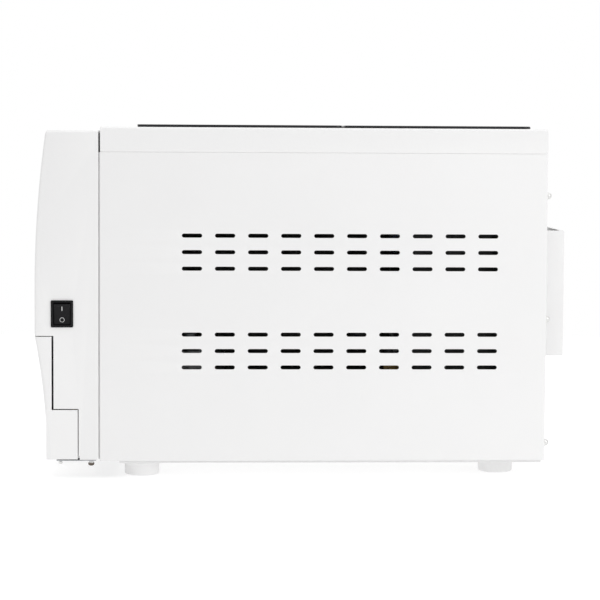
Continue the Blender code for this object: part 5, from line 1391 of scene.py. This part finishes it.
def inlet():
    """A mains inlet: its flange, a shaped well with three blades and a fuse drawer above."""
    x, z = INLET_CENTRE
    low, high = span("mains_inlet")
    rear, face = high.y - 2.6, high.y
    flange = loft([(centred(x, z, 16, 28, 4, 8), rear), (centred(x, z, 16, 28, 4, 8), face - 0.8),
                   (centred(x, z, 15.2, 27.2, 3.4, 8), face)], "Y")
    back = box((x - 13.5, x + 13.5), (low.y, rear + 0.5), (z - 22.5, z + 22.5))
    well = prism([(x - 12, z - 2), (x - 12, z - 14), (x - 7.5, z - 19), (x + 7.5, z - 19), (x + 12, z - 14),
                  (x + 12, z - 2)], "Y", low.y + 13, face + 5)
    drawer = prism(rounded(x - 11.5, x + 11.5, z + 2.5, z + 20, 1.2, 6), "Y", face - 1.4, face + 5)
    piece("inlet_body", flange, "black_plastic", stands_for=["mains_inlet"],
          edits=plus(back) + minus(well, drawer), bevel=0.3)
    tray = prism(rounded(x - 11.1, x + 11.1, z + 2.9, z + 19.6, 1.0, 6), "Y", face - 1.6, face - 0.2)
    grip = prism(rounded(x - 5, x + 5, z + 8.5, z + 13.5, 2.4, 8), "Y", face - 0.9, face + 3)
    piece("inlet_fuse_drawer", tray, "black_plastic", edits=minus(grip), bevel=0.2)
    for i, (u, v) in enumerate(((x, z - 7.2), (x - 7, z - 12.2), (x + 7, z - 12.2))):
        blade = prism(centred(u, v, 1.0, 2.6, 0.4, 4), "Y", low.y + 12, face - 3)
        piece(f"inlet_blade_{i}", blade, "bright_steel", bevel=0.3)
    for i, v in enumerate((z - 25, z + 25)):
        screw(f"inlet_screw_{i}", (x, v, face), "Y", 1, radius=2.4, height=1.4, deep=1.0)


def cooler():
    """The condenser: a finned core in a frame, its tubes, and the fan in its shroud."""
    x, z = FAN_CENTRE
    core = Solid()
    for side in (-60, 57.5):
        core.box((x + side, x + side + 2.5), (226, 279), (z - 60, z + 60))
        core.box((x - 59, x + 59), (226, 279), (z + side, z + side + 2.5))
    for i in range(38):
        u = x - 55.5 + 3.0 * i
        core.box((u - 0.25, u + 0.25), (226.5, 252), (z - 58, z + 58))
    for i in range(6):
        core.rod((239, z - 47.5 + 19 * i), 4.0, "X", x - 58, x + 58, 24)
    core.turned([(54, 254), (58.5, 254), (58.5, 278.6), (54, 278.6)], (x, z), "Y", 96)
    for start, end in ((-58, -16), (16, 58)):
        core.box((x + start, x + end), (275.8, 278.4), (z - 3, z + 3))
        core.box((x - 3, x + 3), (275.8, 278.4), (z + start, z + end))
    core.rod((x, z), 16.5, "Y", 274.2, 278.6, 64)
    piece("cooler_core", core, "aluminium", stands_for=["condenser"], bevel=0)

    hub = turned([(0, 260), (15.4, 260), (17, 261.4), (17, 273), (0, 273)], (0, 0), "Y", 64)
    for i in range(7):
        sections = []
        for radius, chord, twist in ((14, 13, 42), (24, 15.5, 37), (36, 17.5, 31), (46, 18, 26),
                                     (50, 15, 24)):
            shape = [(chord / 2 * cos(radians(a)), 0.85 * sin(radians(a)) + 1.3 * cos(radians(a)) ** 2)
                     for a in range(0, 360, 20)]
            t = radians(twist)
            sections.append(([(u * cos(t) - v * sin(t), 266.5 + u * sin(t) + v * cos(t)) for u, v in shape],
                             radius))
        blade = loft(sections, "Z")
        hub.add(blade.turn(i * 360 / 7, "Y"))
    piece("fan_wheel", hub.move((x, 0, z)), "black_plastic", "fan", ["fan_rotor"], bevel=0)


# Inside, behind the slots


def interior():
    """A black air duct round the condenser, and a bronze union with its hose, seen through the slots.

    The duct's black walls behind the rear slots are painted shade, standing in for the dark inside.
    """
    wall, heights = (187, 188.6), (96, 302)
    duct = box(wall, (127, 279), heights)
    duct.box((-196, wall[1]), (225, 226), heights)
    # Black walls behind the rear slots: painted shade for the dark inside the machine.
    piece("shade_duct", duct, "black_plastic", bevel=0)
    piece("union_body", box((187.5, 203), (97, 119.5), (103, 132)), "bronze", bevel=1.4, steps=3)
    piece("union_plug", prism(circle((108.5, 117), 9.5, 6), "X", 203, 208), "bronze", bevel=0.5)
    tube("union_hose", [(195, 108, 131), (195, 108, 146), (192, 80, 166), (176, 20, 172), (140, -60, 172)],
         4.4, "black_plastic")


# Studio: metres, degrees and watts


WHITE = (1.0, 1.0, 1.0, 1.0)
SKY_AHEAD, SKY_BEHIND = 0.67, 0.84
FLOOR_RADIUS, FLOOR_DEPTH, FLOOR_GLOW = 1700, 5, 0.62
FLOOR_GREY, FLOOR_CLOUD = (0.44, 0.44, 0.44), (0.46, 0.46, 0.46)
LIGHTS = (  # name, place, what it points at, side of the square, power
    ("overhead", (0.2, 0.0, 2.6), (0, 0, 0), 3.0, 23.0),
    ("behind_right", (1.35, 1.15, 0.9), (0.2, 0.1, 0.2), 1.0, 5.0),
    ("front_left", (-1.9, -2.0, 1.6), (0, 0, 0.2), 1.6, 6.0),
)
CAMERA_PLACE = (2.79145, -0.1404, 0.3931)
CAMERA_YAW, CAMERA_PITCH, CAMERA_ROLL = 3.106, -4.189, 0.327
CAMERA_LENS, CAMERA_SENSOR = 135.0, 36.0


def studio():
    """A white surround that is a little brighter behind the machine, a pale floor and three soft lamps."""
    scene = bpy.context.scene
    scene.view_settings.view_transform = "Standard"
    world = bpy.data.worlds.new("studio")
    scene.world = world
    world.use_nodes = True
    nodes, links = world.node_tree.nodes, world.node_tree.links
    plain = settle(nodes["Background"], Color=WHITE)
    soft = settle(nodes.new("ShaderNodeBackground"), Color=WHITE)
    direction = nodes.new("ShaderNodeSeparateXYZ")
    links.new(nodes.new("ShaderNodeTexCoord").outputs["Generated"], direction.inputs["Vector"])
    slope = settle(nodes.new("ShaderNodeMapRange"), From_Min=-1.0, To_Min=SKY_AHEAD, To_Max=SKY_BEHIND)
    links.new(direction.outputs["Y"], slope.inputs["Value"])
    links.new(slope.outputs["Result"], soft.inputs["Strength"])
    seen = nodes.new("ShaderNodeMixShader")
    links.new(nodes.new("ShaderNodeLightPath").outputs["Is Camera Ray"], seen.inputs["Fac"])
    links.new(soft.outputs["Background"], seen.inputs[1])
    links.new(plain.outputs["Background"], seen.inputs[2])
    links.new(seen.outputs["Shader"], nodes["World Output"].inputs["Surface"])

    floor_shape = turned([(0, -FLOOR_DEPTH), (FLOOR_RADIUS, -FLOOR_DEPTH), (FLOOR_RADIUS, 0), (0, 0)],
                         (0, 0), "Z")
    floor = linked("floor", floor_shape.mesh("floor"))
    floor.data.materials.append(floor_material())
    for name, place, target, size, power in LIGHTS:
        lamp = bpy.data.lights.new(name, "AREA")
        lamp.shape = "SQUARE"
        lamp.size = size
        lamp.energy = power
        made = bpy.data.objects.new(name, lamp)
        made.location = place
        made.rotation_euler = (Vector(target) - Vector(place)).to_track_quat("-Z", "Y").to_euler()
        scene.collection.objects.link(made)


def floor_material():
    """A pale, slightly clouded floor that glows a little, so it reads as plain white paper."""
    made = bpy.data.materials.new("studio_floor")
    made.use_nodes = True
    nodes, links = made.node_tree.nodes, made.node_tree.links
    shader = settle(nodes["Principled BSDF"], Roughness=0.8, Specular_IOR_Level=0.2, Emission_Color=WHITE,
                    Emission_Strength=FLOOR_GLOW)
    cloud = settle(nodes.new("ShaderNodeTexNoise"), Scale=3.0)
    links.new(nodes.new("ShaderNodeTexCoord").outputs["Object"], cloud.inputs["Vector"])
    links.new(mix(nodes, links, cloud.outputs["Fac"], FLOOR_GREY, FLOOR_CLOUD), shader.inputs["Base Color"])
    return made


def camera():
    """The photograph's view: from the right, a little above and turned a little towards the back."""
    yaw, pitch, roll = radians(CAMERA_YAW), radians(CAMERA_PITCH), radians(CAMERA_ROLL)
    forward = Vector((-cos(yaw) * cos(pitch), sin(yaw) * cos(pitch), sin(pitch)))
    level = forward.cross(Vector((0, 0, 1))).normalized()
    upright = level.cross(forward)
    right = level * cos(roll) + upright * sin(roll)
    up = upright * cos(roll) - level * sin(roll)
    lens = bpy.data.cameras.new("camera")
    lens.lens = CAMERA_LENS
    lens.sensor_width = CAMERA_SENSOR
    lens.dof.use_dof = False
    lens.clip_start, lens.clip_end = 0.01, 50.0
    made = bpy.data.objects.new("camera", lens)
    facing = Matrix((right, up, -forward)).transposed()
    made.matrix_world = Matrix.Translation(CAMERA_PLACE) @ facing.to_4x4()
    bpy.context.scene.collection.objects.link(made)
    bpy.context.scene.camera = made


side_panels()
roof()
lids()
feet()
hood()
fascia()
service_door()
hinge_plate()
mains_switch()
display()
keys()
printer()
door_cover()
handle()
latch()
door_inside()
door_hinge()
vessel()
rack()
trays()
bulkhead_screws()
air_filter()
drain_taps()
tanks()
rear_plate()
inlet()
cooler()
interior()

DRESSED = {
    "white_paint": ["base_pan"],
    "zinc_steel": ["front_bulkhead", "vessel_cradle", "steam_generator", "band_heater"],
    "black_plastic": ["water_pump"],
    "brass": ["valve_block", "safety_valve"],
    # The insulation jacket takes the near-black glass wool, painted shade for the dark inside the slots.
    "glass_wool": ["insulation_jacket"],
    "aluminium": ["vacuum_pump"],
    "circuit_board": ["control_board"],
}
for look, names in DRESSED.items():
    dress(look, *names)

studio()
camera()
